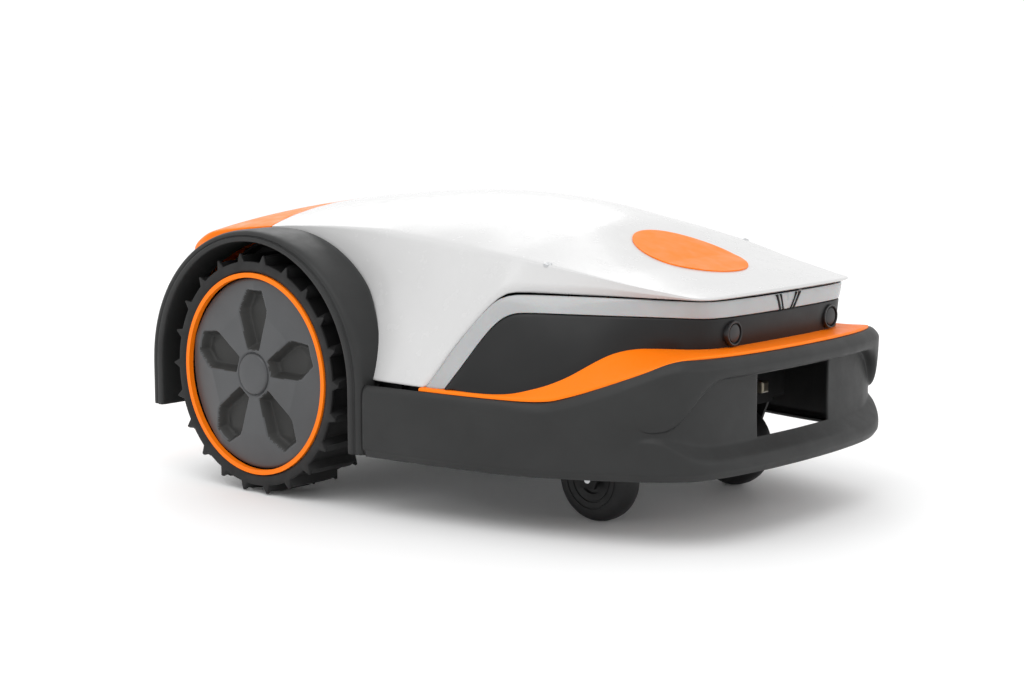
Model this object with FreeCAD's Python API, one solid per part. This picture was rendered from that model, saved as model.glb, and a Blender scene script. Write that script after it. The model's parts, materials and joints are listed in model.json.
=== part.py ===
# Robotic lawn mower: two driven rear wheels, two swivelling front casters, a floating cover
# that senses bumps, and a height-adjustable cutting deck with three pivoting blades.
# Units are millimetres. +X is forward, +Y is the machine's left, +Z is up, and the origin is
# the centre of the footprint on the ground. The drawing below has its zero a little behind
# that, and every piece is moved by DATUM_SHIFT when it is exported.
import FreeCAD, Part
import math
import os

Vector = FreeCAD.Vector

# ---- driving dimensions -------------------------------------------------------------------
LENGTH = 708.0
WIDTH = 530.0
HEIGHT = 318.0
REAR_X = -349.0
FRONT_X = REAR_X + LENGTH
DATUM_SHIFT = -(FRONT_X + REAR_X) / 2
HOOD_FRONT_X = 331.0
SIDE_Y = WIDTH / 2
WALL = 3.0
SNUG = 0.05          # radial running clearance of a shaft in its bore
GAP = 0.4            # clearance between neighbours that move past each other
FLOAT_TRAVEL = 6.0   # how far the floating cover moves back and forth when it is bumped

# rear wheels
WHEEL_X = -179.0
WHEEL_RADIUS = 130.0
WHEEL_WIDTH = 72.0
WHEEL_OUTER_Y = SIDE_Y - 3.0
WHEEL_INNER_Y = WHEEL_OUTER_Y - WHEEL_WIDTH
TYRE_BASE_RADIUS = 121.0
RIM_RADIUS = 104.0
ACCENT_RING_RADIUS = 109.0
AXLE_RADIUS = 9.0
LUG_COUNT = 22
LUG_WIDTH = 15.0
POCKET_COUNT = 5

# front casters
CASTER_RADIUS = 45.0
CASTER_WIDTH = 30.0
CASTER_X = 182.0
CASTER_Y = 118.0
CASTER_TRAIL = 22.0
STEM_RADIUS = 7.0
CASTER_PIN_RADIUS = 4.0

# wheel-arch fenders, which are elliptical in side view
FENDER_X = -181.0
FENDER_OUTER = (166.0, 155.0)
FENDER_INNER = (146.0, 142.0)
FENDER_REAR_HEM = 78.0
FENDER_FRONT_HEM = 62.0

# hood and skirt heights
HEM_Z = 60.0
HOOD_HEM_Z = 139.0
LIP_Z = 236.0
STRIP_BOTTOM_Z = 217.0
SKIRT_TOP_Z = 136.0
FRONT_LIP_Z = 184.0
FRONT_HEM_Z = 66.0
BAND_THICKNESS = 2.5

# cutting deck
DECK_X = -5.0
DECK_RADIUS = 152.0
DECK_WELL_RADIUS = 157.0
DECK_FLOOR_Z = 66.0
DECK_ROOF_Z = 116.0
DISC_RADIUS = 100.0
BLADE_COUNT = 3
BLADE_PIVOT_RADIUS = 88.0
CUT_HEIGHT_TRAVEL = 40.0
GUIDE_Y = 118.0
GUIDE_RADIUS = 6.0
SCREW_X = DECK_X + 78.0
SCREW_RADIUS = 6.0

# chassis
PAN_FLOOR_Z = 70.0
PAN_FRONT_FLOOR_Z = 108.0
PAN_TOP_Z = 190.0
LID_THICKNESS = 5.0
PAN_FRONT_X = 250.0
PAN_STEP_X = 118.0
FLOAT_POSTS = [(-262.0, 118.0), (128.0, 120.0)]
FLOAT_POST_TOP_Z = 232.0

# Hood stations: x, crown z, crease y, crease z, wall y at the lip, wall y at the hem.
HOOD_STATIONS = [
    (REAR_X, 262.0, 194.0, 250.0, 199.0, 204.0),
    (-303.0, 291.0, 197.0, 271.0, 202.0, 206.0),
    (-240.0, 304.0, 199.0, 280.0, 204.0, 210.0),
    (-160.0, 313.0, 200.0, 287.0, 205.0, 222.0),
    (-100.0, 317.0, 200.0, 289.0, 206.0, 235.0),
    (-62.0, HEIGHT, 199.0, 289.0, 206.0, 241.0),
    (-20.0, 316.5, 195.0, 285.0, 206.0, 244.0),
    (20.0, 313.0, 190.0, 281.0, 206.0, 245.0),
    (70.0, 305.0, 184.0, 275.0, 206.0, 244.0),
    (117.0, 294.5, 180.0, 270.0, 205.0, 243.0),
    (145.0, 285.5, 176.0, 266.0, 190.0, 214.0),
    (180.0, 274.0, 168.0, 260.0, 176.0, 198.0),
    (220.0, 261.5, 157.0, 252.5, 160.0, 180.0),
    (260.0, 252.5, 148.0, 246.0, 147.0, 164.0),
    (300.0, 245.0, 136.0, 240.5, 136.0, 150.0),
    (HOOD_FRONT_X, 240.0, 128.0, LIP_Z + 2.0, 130.0, 142.0),
]

# Half outlines seen from above, from the rear of the left side to the middle of the front.
SKIRT_OUTLINE = [
    (-15.0, 262.0), (36.0, 257.0), (97.0, 249.0), (155.0, 239.0), (218.0, 222.0), (277.0, 203.0),
    (312.0, 188.0), (334.0, 169.0), (346.0, 140.0), (354.0, 93.0), (358.0, 42.0), (FRONT_X, 0.0),
]
FASCIA_FOOT = [
    (50.0, 240.0), (110.0, 238.0), (142.0, 231.5), (173.0, 217.0), (216.0, 190.0), (244.0, 162.0),
    (270.0, 142.0), (300.0, 128.0), (315.0, 106.0), (320.0, 60.0), (322.0, 0.0),
]
FASCIA_HEAD = [
    (50.0, 209.0), (100.0, 206.0), (134.0, 200.0), (165.0, 189.0), (222.0, 163.0), (246.0, 151.0),
    (270.0, 140.0), (302.0, 126.0), (318.0, 104.0), (324.0, 60.0), (326.0, 0.0),
]
HOOD_FRONT = [(300.0, 136.0), (316.0, 129.0), (325.0, 110.0), (329.5, 60.0), (HOOD_FRONT_X, 0.0)]
PILLAR_OUTLINE = [
    (255.0, 208.0), (284.0, 197.5), (304.0, 188.0), (318.0, 176.0), (330.0, 143.0), (335.0, 110.0),
    (337.5, 65.0), (338.0, 0.0),
]
# The accent band rises from its outer edge to its inner edge: matching points seen from above.
BAND_OUTER = [
    (52.0, 248.0), (97.0, 243.0), (146.0, 235.0), (178.0, 226.0), (212.0, 215.0), (240.0, 206.0),
    (268.0, 196.0), (298.0, 183.0), (321.0, 164.0), (334.0, 138.0), (343.0, 93.0), (347.0, 42.0), (348.0, 0.0),
]
BAND_INNER = [
    (52.0, 237.0), (97.0, 236.0), (144.0, 228.0), (168.0, 216.5), (194.0, 200.0), (222.0, 180.0),
    (248.0, 155.0), (274.0, 137.0), (299.0, 125.0), (310.0, 108.0), (315.5, 78.0), (318.5, 40.0), (319.0, 0.0),
]
PAN_OUTLINE = [
    (-322.0, 150.0), (-312.0, 172.0), (-20.0, 172.0), (-2.0, 195.0), (118.0, 195.0),
    (205.0, 166.0), (PAN_FRONT_X, 112.0),
]

BODY_DEPTH = 2000.0   # longer than anything here, for cutting tools
SIDES = {"left": 1.0, "right": -1.0}


# ---- small geometry helpers ---------------------------------------------------------------
def block(x0, x1, y0, y1, z0, z1):
    """A box between two corners."""
    return Part.makeBox(x1 - x0, y1 - y0, z1 - z0, Vector(x0, y0, z0))


def rod(start, axis, radius, length, bore=0.0):
    """A round bar, or a tube when it has a bore, from a start point along an axis."""
    bar = Part.makeCylinder(radius, length, Vector(*start), Vector(*axis))
    if bore:
        bar = bar.cut(Part.makeCylinder(bore, length, Vector(*start), Vector(*axis)))
    return bar


def cone(start, axis, radius0, radius1, length):
    """A tapered round bar."""
    return Part.makeCone(radius0, radius1, length, Vector(*start), Vector(*axis))


def join(shapes):
    """One solid from several that overlap or touch."""
    result = shapes[0]
    if len(shapes) > 1:
        result = result.fuse(shapes[1:])
    return result.removeSplitter()


def main_piece(shape):
    """The largest solid that a cut leaves, without the slivers beside it."""
    return max(shape.Solids, key=lambda solid: solid.Volume)


def group(shapes):
    """Separate solids that share one node."""
    return Part.makeCompound(shapes)


def handed(shape, side):
    """The left-hand shape, mirrored for the right-hand side."""
    if SIDES[side] > 0:
        return shape
    return shape.mirror(Vector(0, 0, 0), Vector(0, 1, 0))


def both_sides(shape):
    """The left-hand shape and its mirror image."""
    return [handed(shape, side) for side in SIDES]


def mirrored_outline(points):
    """A full outline from its left half, which ends on the centre line or beside it."""
    right = [(x, -y) for x, y in reversed(points) if y > 0]
    return points + right


def prism_z(points, z0, z1):
    """A polygon seen from above, extruded upwards."""
    corners = [Vector(x, y, z0) for x, y in points]
    face = Part.Face(Part.makePolygon(corners + corners[:1]))
    return face.extrude(Vector(0, 0, z1 - z0))


def prism_y(points, half_width=BODY_DEPTH / 2):
    """A polygon seen from the side, extruded across the machine."""
    corners = [Vector(x, -half_width, z) for x, z in points]
    face = Part.Face(Part.makePolygon(corners + corners[:1]))
    return face.extrude(Vector(0, 2 * half_width, 0))


def inset(points, distance):
    """A half outline moved inwards, square to itself at every point."""
    moved = []
    for index, (x, y) in enumerate(points):
        before = points[max(index - 1, 0)]
        after = points[min(index + 1, len(points) - 1)]
        if index == len(points) - 1 and y == 0.0:
            after = (before[0], -before[1])
        along = (after[0] - before[0], after[1] - before[1])
        length = math.hypot(*along)
        moved.append((x + along[1] / length * distance, y - along[0] / length * distance))
    return moved


def outline_wire(half, z):
    """A closed wire at one height: a smooth curve round the front, straight across the rear."""
    points = [Vector(x, y, z) for x, y in mirrored_outline(half)]
    curve = Part.BSplineCurve()
    curve.interpolate(points)
    return Part.Wire([curve.toShape(), Part.makeLine(points[-1], points[0])])


def outline_prism(half, z0, z1):
    """The solid inside an outline between two heights."""
    return Part.Face(outline_wire(half, z0)).extrude(Vector(0, 0, z1 - z0))


def outline_loft(half_low, z_low, half_high, z_high):
    """The solid between two outlines at two heights."""
    return Part.makeLoft([outline_wire(half_low, z_low), outline_wire(half_high, z_high)], True)


def ellipse_arch(size, foot_z):
    """The side view of a wheel arch as a solid: half an ellipse on two straight legs."""
    half_length, rise = size
    ellipse = Part.Ellipse(Vector(FENDER_X, WHEEL_RADIUS, 0), half_length, rise)
    arch = Part.Arc(ellipse, 0, math.pi).toShape()
    front, rear = FENDER_X + half_length, FENDER_X - half_length
    corners = [Vector(rear, WHEEL_RADIUS, 0), Vector(rear, foot_z, 0),
               Vector(front, foot_z, 0), Vector(front, WHEEL_RADIUS, 0)]
    face = Part.Face(Part.Wire([arch] + Part.makePolygon(corners).Edges))
    face.rotate(Vector(0, 0, 0), Vector(1, 0, 0), 90)
    face.translate(Vector(0, BODY_DEPTH / 2, 0))
    return face.extrude(Vector(0, -BODY_DEPTH, 0))


# ---- the cover's envelope -----------------------------------------------------------------
WALL_BREAK_Z = 228.0
REAR_CORNER_RADIUS = 32.0


def hood_section(station, skin):
    """One cross-section of the hood, moved inwards by the skin's thickness."""
    x, crown_z, crease_y, crease_z, wall_y, hem_y = station
    side = [(crease_y - skin, crease_z - skin), (wall_y - skin, WALL_BREAK_Z),
            (hem_y - skin, HOOD_HEM_Z), (hem_y - skin, HEM_Z)]
    left = [Vector(x, y, z) for y, z in side]
    right = [Vector(x, -y, z) for y, z in reversed(side)]
    crown = Part.Arc(right[-1], Vector(x, 0, crown_z - skin), left[0]).toShape()
    walls = Part.makePolygon(left + right).Edges
    return Part.Wire([crown] + walls)


def corner_trim(half_width, end_x, radius):
    """What a rounded vertical corner at the rear takes off, on the left side."""
    corner = block(end_x - 1, end_x + radius, half_width - radius, SIDE_Y + 50, 0, HEIGHT + 50)
    return corner.cut(rod((end_x + radius, half_width - radius, 0), (0, 0, 1), radius, HEIGHT + 50))


def hood_volume(skin):
    """The solid inside the hood and rear cover, moved inwards by the skin's thickness."""
    stations = list(HOOD_STATIONS)
    rear, front = stations[0], stations[-1]
    stations[0] = (rear[0] + skin,) + rear[1:]
    stations[-1] = (front[0] + 2.0,) + front[1:]
    body = Part.makeLoft([hood_section(station, skin) for station in stations], True, True)
    body = body.cut(both_sides(corner_trim(rear[5] - skin, REAR_X + skin, REAR_CORNER_RADIUS - skin)))
    nose = [Vector(x, y, 0) for x, y in mirrored_outline(inset(HOOD_FRONT, skin))]
    curve = Part.BSplineCurve()
    curve.interpolate(nose)
    flare = SIDE_Y + 60
    box = [nose[-1], Vector(nose[-1].x, -flare, 0), Vector(REAR_X - 60, -flare, 0),
           Vector(REAR_X - 60, flare, 0), Vector(nose[0].x, flare, 0), nose[0]]
    plan = Part.Face(Part.Wire([curve.toShape()] + Part.makePolygon(box).Edges))
    return body.common(plan.extrude(Vector(0, 0, HEIGHT + 60)))


def fascia_volume(skin):
    """The solid inside the fascia, which leans inwards up to the light strip."""
    foot, head = inset(FASCIA_FOOT, skin), inset(FASCIA_HEAD, skin)
    lower = outline_loft(foot, SKIRT_TOP_Z, head, STRIP_BOTTOM_Z)
    return lower.fuse(outline_prism(head, STRIP_BOTTOM_Z, LIP_Z))


# Side-view lines that divide the cover, as (x, z) points.
HOOD_HEM = [(57.0, HOOD_HEM_Z), (83.0, 183.0), (112.0, 224.0), (131.0, LIP_Z), (400.0, LIP_Z)]
STRIP_HEM = [(82.0, HOOD_HEM_Z), (100.0, 168.0), (120.0, 203.0), (136.0, STRIP_BOTTOM_Z),
             (400.0, STRIP_BOTTOM_Z)]
SKIRT_TOP = [(-30.0, SKIRT_TOP_Z), (192.0, SKIRT_TOP_Z), (215.0, 142.0), (257.0, 157.0),
             (298.0, 173.0), (328.0, FRONT_LIP_Z), (400.0, FRONT_LIP_Z)]
FASCIA_HEM = [(142.0, 139.0), (172.0, 146.0), (198.0, 158.5), (224.0, 175.0), (251.0, 186.5),
              (400.0, 187.5)]
SKIRT_HEM = [(-30.0, HEM_Z), (150.0, HEM_Z), (300.0, FRONT_HEM_Z), (400.0, FRONT_HEM_Z)]
REAR_HEM_Z = 152.0
SEAM_X = -208.0
SEAM_BOW = 30.0


def raised(line, height):
    """A side-view line moved up."""
    return [(x, z + height) for x, z in line]


def between(lower, upper):
    """The solid across the machine between two side-view lines."""
    return prism_y(lower + list(reversed(upper)))


def under(line, height=0.0):
    """Everything below a side-view line."""
    first, last = line[0], line[-1]
    return prism_y(raised(line, height) + [(last[0], -10.0), (first[0], -10.0)])


def rear_region():
    """Everything behind the seam between the hood and the rear cover, which bows rearwards."""
    flare = SIDE_Y + 40
    start = Vector(SEAM_X, -flare, 0)
    end = Vector(SEAM_X, flare, 0)
    seam = Part.Arc(start, Vector(SEAM_X - SEAM_BOW, 0, 0), end).toShape()
    back = [end, Vector(REAR_X - 40, flare, 0), Vector(REAR_X - 40, -flare, 0), start]
    return Part.Face(Part.Wire([seam] + Part.makePolygon(back).Edges)).extrude(Vector(0, 0, 400))


def wheel_wells():
    """The space each rear wheel runs in."""
    inner_y = WHEEL_INNER_Y - 8
    well = ellipse_arch(FENDER_INNER, -10).common(
        block(REAR_X, FRONT_X, inner_y, SIDE_Y + 50, -20, HEIGHT))
    return both_sides(well)


# ---- cover --------------------------------------------------------------------------------
PANEL = (-322.0, -246.0, 74.0)      # rear x, front x, half width of the control panel's pocket
PANEL_FLOOR_Z = 266.0
BUTTON_X = -294.0
BUTTON_RADIUS = 23.0
BUTTON_STEM_RADIUS = 8.0
BUTTON_TRAVEL = 4.0
SENSOR_Y = 86.0
SENSOR_Z = 201.5
SENSOR_RADIUS = 12.5
BADGE_X = 206.0
BADGE_RADIUS = 60.0
BADGE_THICKNESS = 1.2
STUD = (156.0, 170.0)
WINDOW_HALF_WIDTH = 65.5
WINDOW_FLOOR_Z = 96.0
LIP_BOTTOM_Z = 163.0


def panel_pocket(margin):
    """The space of the control panel, grown by a margin on every side."""
    rear_x, front_x, half_width = PANEL
    return block(rear_x - margin, front_x + margin, -half_width - margin, half_width + margin,
                 PANEL_FLOOR_Z - margin, HEIGHT + 20)


def cover_parts():
    """The painted and moulded pieces of the floating cover."""
    outside, inside = hood_volume(0.0), hood_volume(WALL)
    shell = outside.cut(inside).cut(wheel_wells())
    behind = rear_region()

    above_hem = prism_y([(REAR_X - 20, HOOD_HEM_Z)] + HOOD_HEM + [(400, 400), (REAR_X - 20, 400)])
    hood = shell.common(above_hem).cut(behind)

    above_rear_hem = block(REAR_X - 20, 0, -SIDE_Y, SIDE_Y, REAR_HEM_Z, HEIGHT + 20)
    rear_cover = shell.common(behind).common(above_rear_hem).cut(panel_pocket(0.0))
    rear_skirt = shell.common(block(REAR_X - 20, REAR_X + REAR_CORNER_RADIUS - 8, -SIDE_Y, SIDE_Y,
                                    FENDER_REAR_HEM, REAR_HEM_Z))

    lean = fascia_volume(0.0).cut(fascia_volume(WALL))
    fascia = lean.common(between(FASCIA_HEM, STRIP_HEM)).cut(hood)
    strip = lean.common(between(STRIP_HEM, HOOD_HEM)).cut(hood)

    ring = outline_prism(SKIRT_OUTLINE, HEM_Z, FRONT_LIP_Z + 20)
    opening_half = [(-40.0, 243.0)] + FASCIA_FOOT[1:]
    opening = outline_prism(opening_half, 0, HEIGHT)
    return hood, rear_cover, rear_skirt, fascia, strip, ring, opening


def height_at(line, x):
    """The height of a side-view line at one place along the machine."""
    for (x0, z0), (x1, z1) in zip(line, line[1:]):
        if x0 <= x <= x1:
            return z0 + (z1 - z0) * (x - x0) / (x1 - x0)
    return line[0][1]


def band_edge(half, line, lift):
    """One long edge of the accent band: a smooth curve round the front at a line's height."""
    points = [Vector(x, y, height_at(line, x) + lift) for x, y in mirrored_outline(half)]
    curve = Part.BSplineCurve()
    curve.interpolate(points)
    return curve.toShape()


def accent_band():
    """The band on the skirt's shoulder, which slopes up to the fascia's foot."""
    outer = band_edge(BAND_OUTER, SKIRT_TOP, BAND_THICKNESS)
    inner = band_edge(BAND_INNER, FASCIA_HEM, 0.0)
    return Part.makeRuledSurface(outer, inner).extrude(Vector(0, 0, -BAND_THICKNESS))


def bumper(ring, opening):
    """The skirt down both sides and the front bumper with its recess and docking window."""
    skirt = ring.common(under(SKIRT_TOP)).cut(under(SKIRT_HEM))
    cavity = outline_prism(inset(SKIRT_OUTLINE, WALL), 0, HEIGHT).common(under(SKIRT_TOP, -WALL))
    front = block(255.0, FRONT_X + 5, -SIDE_Y, SIDE_Y, 0, HEIGHT)
    pillars = outline_prism(PILLAR_OUTLINE, 0, HEIGHT)
    pillar_core = outline_prism(inset(PILLAR_OUTLINE, WALL + 1), 0, HEIGHT)
    shell = skirt.cut([cavity, opening])
    nose = skirt.common(front).cut(pillar_core)
    recess = prism_y([(314.0, 107.0), (330.0, 94.0), (346.0, 87.0), (400.0, 84.0),
                      (400.0, LIP_BOTTOM_Z), (347.0, LIP_BOTTOM_Z), (336.0, 138.0)]).cut(pillars)
    window = block(250.0, FRONT_X + 20, -WINDOW_HALF_WIDTH, WINDOW_HALF_WIDTH,
                   WINDOW_FLOOR_Z, LIP_BOTTOM_Z)
    return shell.fuse(nose).cut([recess, window]).removeSplitter()


def fender(side, outside):
    """A wheel arch: a hollow band round the wheel that butts against the hood's side."""
    outer = ellipse_arch(FENDER_OUTER, FENDER_FRONT_HEM)
    inner = ellipse_arch(FENDER_INNER, 0)
    core_outer = ellipse_arch([size - WALL for size in FENDER_OUTER], 0)
    core_inner = ellipse_arch([size + WALL for size in FENDER_INNER], -20)
    span = block(REAR_X - 5, 0, WHEEL_INNER_Y, SIDE_Y, 0, HEIGHT)
    face_y = SIDE_Y - WALL
    core = core_outer.cut(core_inner).common(block(REAR_X, 0, 0, face_y, 0, HEIGHT))
    short_leg = block(REAR_X - 5, FENDER_X, 0, SIDE_Y + 5, 0, FENDER_REAR_HEM)
    arch = outer.cut(inner).common(span).cut([core, short_leg, outside])
    return handed(arch, side)


def arch_liner(side, inside):
    """The wheel well's inner wall, open below the axle, and the roof that joins it to the fender."""
    wall_y = WHEEL_INNER_Y - 8
    well = ellipse_arch(FENDER_INNER, FENDER_REAR_HEM)
    roof = ellipse_arch([size + WALL for size in FENDER_INNER], FENDER_REAR_HEM).cut(well)
    roof = roof.common(block(REAR_X, 0, wall_y - WALL, SIDE_Y, WHEEL_RADIUS, HEIGHT)).common(inside)
    wall = well.common(block(REAR_X, 0, wall_y - WALL, wall_y, FENDER_REAR_HEM, HEIGHT))
    slot = block(WHEEL_X - 32, WHEEL_X + 32, 0, SIDE_Y, 0, WHEEL_RADIUS + 32)
    return handed(join([wall.cut(slot), roof]), side)


def control_panel(outside):
    """A tray sunk in the rear cover, with a bore for the stop button's stem."""
    tray = panel_pocket(0.0).common(outside).cut(panel_pocket(-WALL))
    bore = rod((BUTTON_X, 0, PANEL_FLOOR_Z - 5), (0, 0, 1), BUTTON_STEM_RADIUS + SNUG, 20)
    return tray.cut(bore)


def keypad():
    """The rubber key mat in front of the stop button, with three raised keys."""
    floor = PANEL_FLOOR_Z + WALL
    mat = block(BUTTON_X + 28, PANEL[1] - WALL - 1, -62, 62, floor, floor + 2)
    keys = [rod((BUTTON_X + 38, y, floor + 1), (0, 0, 1), 7.0, 4.0) for y in (-40, 0, 40)]
    return join([mat] + keys)


def stop_button():
    """A round push button with a stem that slides through the panel."""
    floor = PANEL_FLOOR_Z + WALL
    cap = rod((BUTTON_X, 0, floor + BUTTON_TRAVEL + 1.5), (0, 0, 1), BUTTON_RADIUS, 11.0)
    stem = rod((BUTTON_X, 0, PANEL_FLOOR_Z - 12), (0, 0, 1), BUTTON_STEM_RADIUS, 24.0)
    stem = stem.common(block(-400, 0, -50, 50, 0, floor + BUTTON_TRAVEL + 2))
    cap = cap.makeFillet(3.0, [edge for edge in cap.Edges if edge.BoundBox.ZMin > floor + 12])
    return join([cap, stem])


def sensor(side):
    """An ultrasonic sensor: a round capsule with a shallow grille dish in its face."""
    face_x = HOOD_FRONT_X - 8.0
    depth, dish_depth, rim_width = 24.0, 2.0, 3.0
    body = rod((face_x - depth, SENSOR_Y, SENSOR_Z), (1, 0, 0), SENSOR_RADIUS, depth)
    dish = rod((face_x - dish_depth, SENSOR_Y, SENSOR_Z), (1, 0, 0), SENSOR_RADIUS - rim_width, depth)
    return handed(body.cut(dish), side)


def cover_mounts(inside):
    """Four sockets under the cover that stand on the float posts."""
    bosses = []
    for x, y in FLOAT_POSTS:
        boss = rod((x, y, FLOAT_POST_TOP_Z + GAP), (0, 0, 1), 14.0, 90.0).common(inside)
        bosses += both_sides(boss)
    return group(bosses)


def build_cover():
    """Every node that rides on the floating cover."""
    outside, inside = hood_volume(0.0), hood_volume(WALL)
    hood, rear_cover, rear_skirt, fascia, strip, ring, opening = cover_parts()
    skirt = bumper(ring, opening)
    sensors = {side: sensor(side) for side in SIDES}
    plate_z = SKIRT_TOP_Z - WALL
    screws = [rod((x, y, plate_z - 3), (0, 0, 1), 4.0, 3.0) for x, y in ((0, 252), (70, 245), (140, 233))]
    skin = hood_volume(-BADGE_THICKNESS).cut(outside)
    badge = skin.common(rod((BADGE_X, 0, HOOD_HEM_Z + 60), (0, 0, 1), BADGE_RADIUS, 120))
    stud = skin.common(rod((STUD[0], STUD[1], HOOD_HEM_Z + 60), (0, 0, 1), 5.0, 120))
    nodes = {
        "hood_shell": hood,
        "rear_cover": rear_cover,
        "rear_skirt": rear_skirt,
        "bumper_skirt": skirt,
        "accent_band": accent_band().cut([hood, fascia, strip, skirt]),
        "fascia": main_piece(fascia.cut(list(sensors.values()))),
        "light_strip": strip,
        "badge_disc": badge,
        "rain_studs": group(both_sides(stud)),
        "control_panel": control_panel(outside),
        "keypad": keypad(),
        "stop_button": stop_button(),
        "cover_mounts": cover_mounts(inside),
        "cover_screws": group([handed(screw, side) for screw in screws for side in SIDES]),
    }
    for side in SIDES:
        nodes["fender_" + side] = fender(side, outside)
        nodes["arch_liner_" + side] = arch_liner(side, inside)
        nodes["sonar_sensor_" + side] = sensors[side]
    return nodes


# ---- chassis ------------------------------------------------------------------------------
LID_TOP_Z = PAN_TOP_Z + LID_THICKNESS
GEARMOTOR_RADIUS = 34.0
GEARMOTOR_LENGTH = 84.0
BEARING_RADIUS = 15.0
BEARING_WIDTH = 10.0
PAN_SIDE_Y = 172.0
BUSH_RADIUS = 12.0
SEAL_THICKNESS = 1.5
BUSH_TOP_Z = 150.0
FORK_TOP_Z = 103.0
DOCK_CONTACT_Y = 28.0
LIFT_MOTOR_RADIUS = 19.0
SCREW_LENGTH = LID_TOP_Z - 80.0


def pan_plan(margin, z0, z1):
    """The chassis pan's plan, shrunk by a margin, as a solid between two heights."""
    return prism_z(mirrored_outline(inset(PAN_OUTLINE, margin)), z0, z1)


def pan_shape(margin, z0, z1, step_z):
    """The plan's solid with its floor stepped up over the casters."""
    step = block(PAN_STEP_X - margin, FRONT_X, -SIDE_Y, SIDE_Y, 0, step_z)
    return pan_plan(margin, z0, z1).cut(step)


def chassis_pan():
    """The main tub, with a round well for the deck and bosses for the casters and axles."""
    outer = pan_shape(0.0, PAN_FLOOR_Z, PAN_TOP_Z, PAN_FRONT_FLOOR_Z)
    inner = pan_shape(WALL, PAN_FLOOR_Z + WALL, PAN_TOP_Z + 1, PAN_FRONT_FLOOR_Z + WALL)
    caster_x = CASTER_X + CASTER_TRAIL
    bosses, bores = [], []
    for y in (-CASTER_Y, CASTER_Y):
        floor = PAN_FRONT_FLOOR_Z
        bosses.append(rod((caster_x, y, floor), (0, 0, 1), BUSH_RADIUS + 4, BUSH_TOP_Z - floor))
        bores.append(rod((caster_x, y, floor - 1), (0, 0, 1), BUSH_RADIUS, BUSH_TOP_Z))
    for sign in (-1, 1):
        start_y = sign * (PAN_SIDE_Y - BEARING_WIDTH)
        bosses.append(rod((WHEEL_X, start_y, WHEEL_RADIUS), (0, sign, 0), BEARING_RADIUS + 5,
                          BEARING_WIDTH))
        bores.append(rod((WHEEL_X, start_y - sign, WHEEL_RADIUS), (0, sign, 0), BEARING_RADIUS, 20))
    well = rod((DECK_X, 0, 0), (0, 0, 1), DECK_WELL_RADIUS, DECK_ROOF_Z + 8)
    contacts = block(PAN_FRONT_X - 10, PAN_FRONT_X + 5, -42, 42, 116, 146)
    return join([outer.cut(inner)] + bosses).cut(bores + [well, contacts])


def chassis_lid():
    """The flat lid, with holes for the lift screw and sockets for the guide posts."""
    lid = pan_plan(0.0, PAN_TOP_Z + SEAL_THICKNESS, LID_TOP_Z)
    holes = [rod((SCREW_X, 0, PAN_TOP_Z), (0, 0, 1), SCREW_RADIUS + SNUG, 20)]
    for y in (-GUIDE_Y, GUIDE_Y):
        holes.append(rod((DECK_X, y, PAN_TOP_Z), (0, 0, 1), GUIDE_RADIUS, 20))
    for x, y in lid_screw_places():
        holes.append(rod((x, y, PAN_TOP_Z), (0, 0, 1), 2.5, 20))
    return lid.cut(holes)


def lid_screw_places():
    """Where the lid's screws go, a little inside the pan's edge."""
    places = []
    for x, y in ((-305, 150), (-90, 163), (40, 186), (100, 186), (225, 132)):
        places += [(x, y), (x, -y)]
    return places


def chassis_screws():
    """The lid's pan-head screws, one solid each."""
    screws = []
    for x, y in lid_screw_places():
        head = rod((x, y, LID_TOP_Z), (0, 0, 1), 5.0, 3.0)
        shank = rod((x, y, PAN_TOP_Z + SEAL_THICKNESS), (0, 0, 1), 2.5, LID_TOP_Z - PAN_TOP_Z)
        screws.append(head.fuse(shank))
    return group(screws)


def pan_seal():
    """The rubber gasket between the pan's rim and the lid."""
    seal = pan_plan(0.4, PAN_TOP_Z, PAN_TOP_Z + SEAL_THICKNESS)
    return seal.cut(pan_plan(WALL, 0, HEIGHT))


def gearmotor(side):
    """A wheel's drive motor with its planetary gearbox, in one housing."""
    end_y = PAN_SIDE_Y - BEARING_WIDTH - 2
    box_y = end_y - GEARMOTOR_LENGTH * 0.45
    gearbox = rod((WHEEL_X, box_y, WHEEL_RADIUS), (0, 1, 0), GEARMOTOR_RADIUS, end_y - box_y)
    motor = rod((WHEEL_X, end_y - GEARMOTOR_LENGTH, WHEEL_RADIUS), (0, 1, 0), GEARMOTOR_RADIUS - 5,
                box_y - end_y + GEARMOTOR_LENGTH)
    socket = rod((WHEEL_X, end_y - 22, WHEEL_RADIUS), (0, 1, 0), AXLE_RADIUS + SNUG, 30)
    foot = block(WHEEL_X - 20, WHEEL_X + 20, box_y + 4, end_y - 4, PAN_FLOOR_Z + WALL, WHEEL_RADIUS - 20)
    return handed(join([gearbox, motor, foot]).cut(socket), side)


def wheel_bearings():
    """The two bearings that carry the axles in the pan's sides."""
    start_y = PAN_SIDE_Y - BEARING_WIDTH
    bearing = rod((WHEEL_X, start_y, WHEEL_RADIUS), (0, 1, 0), BEARING_RADIUS, BEARING_WIDTH,
                  AXLE_RADIUS + SNUG)
    return group(both_sides(bearing))


def caster_bushes():
    """The two bronze bushes that the caster stems turn in."""
    bush = rod((CASTER_X + CASTER_TRAIL, CASTER_Y, PAN_FRONT_FLOOR_Z), (0, 0, 1), BUSH_RADIUS,
               BUSH_TOP_Z - PAN_FRONT_FLOOR_Z, STEM_RADIUS + SNUG)
    return group(both_sides(bush))


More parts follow.
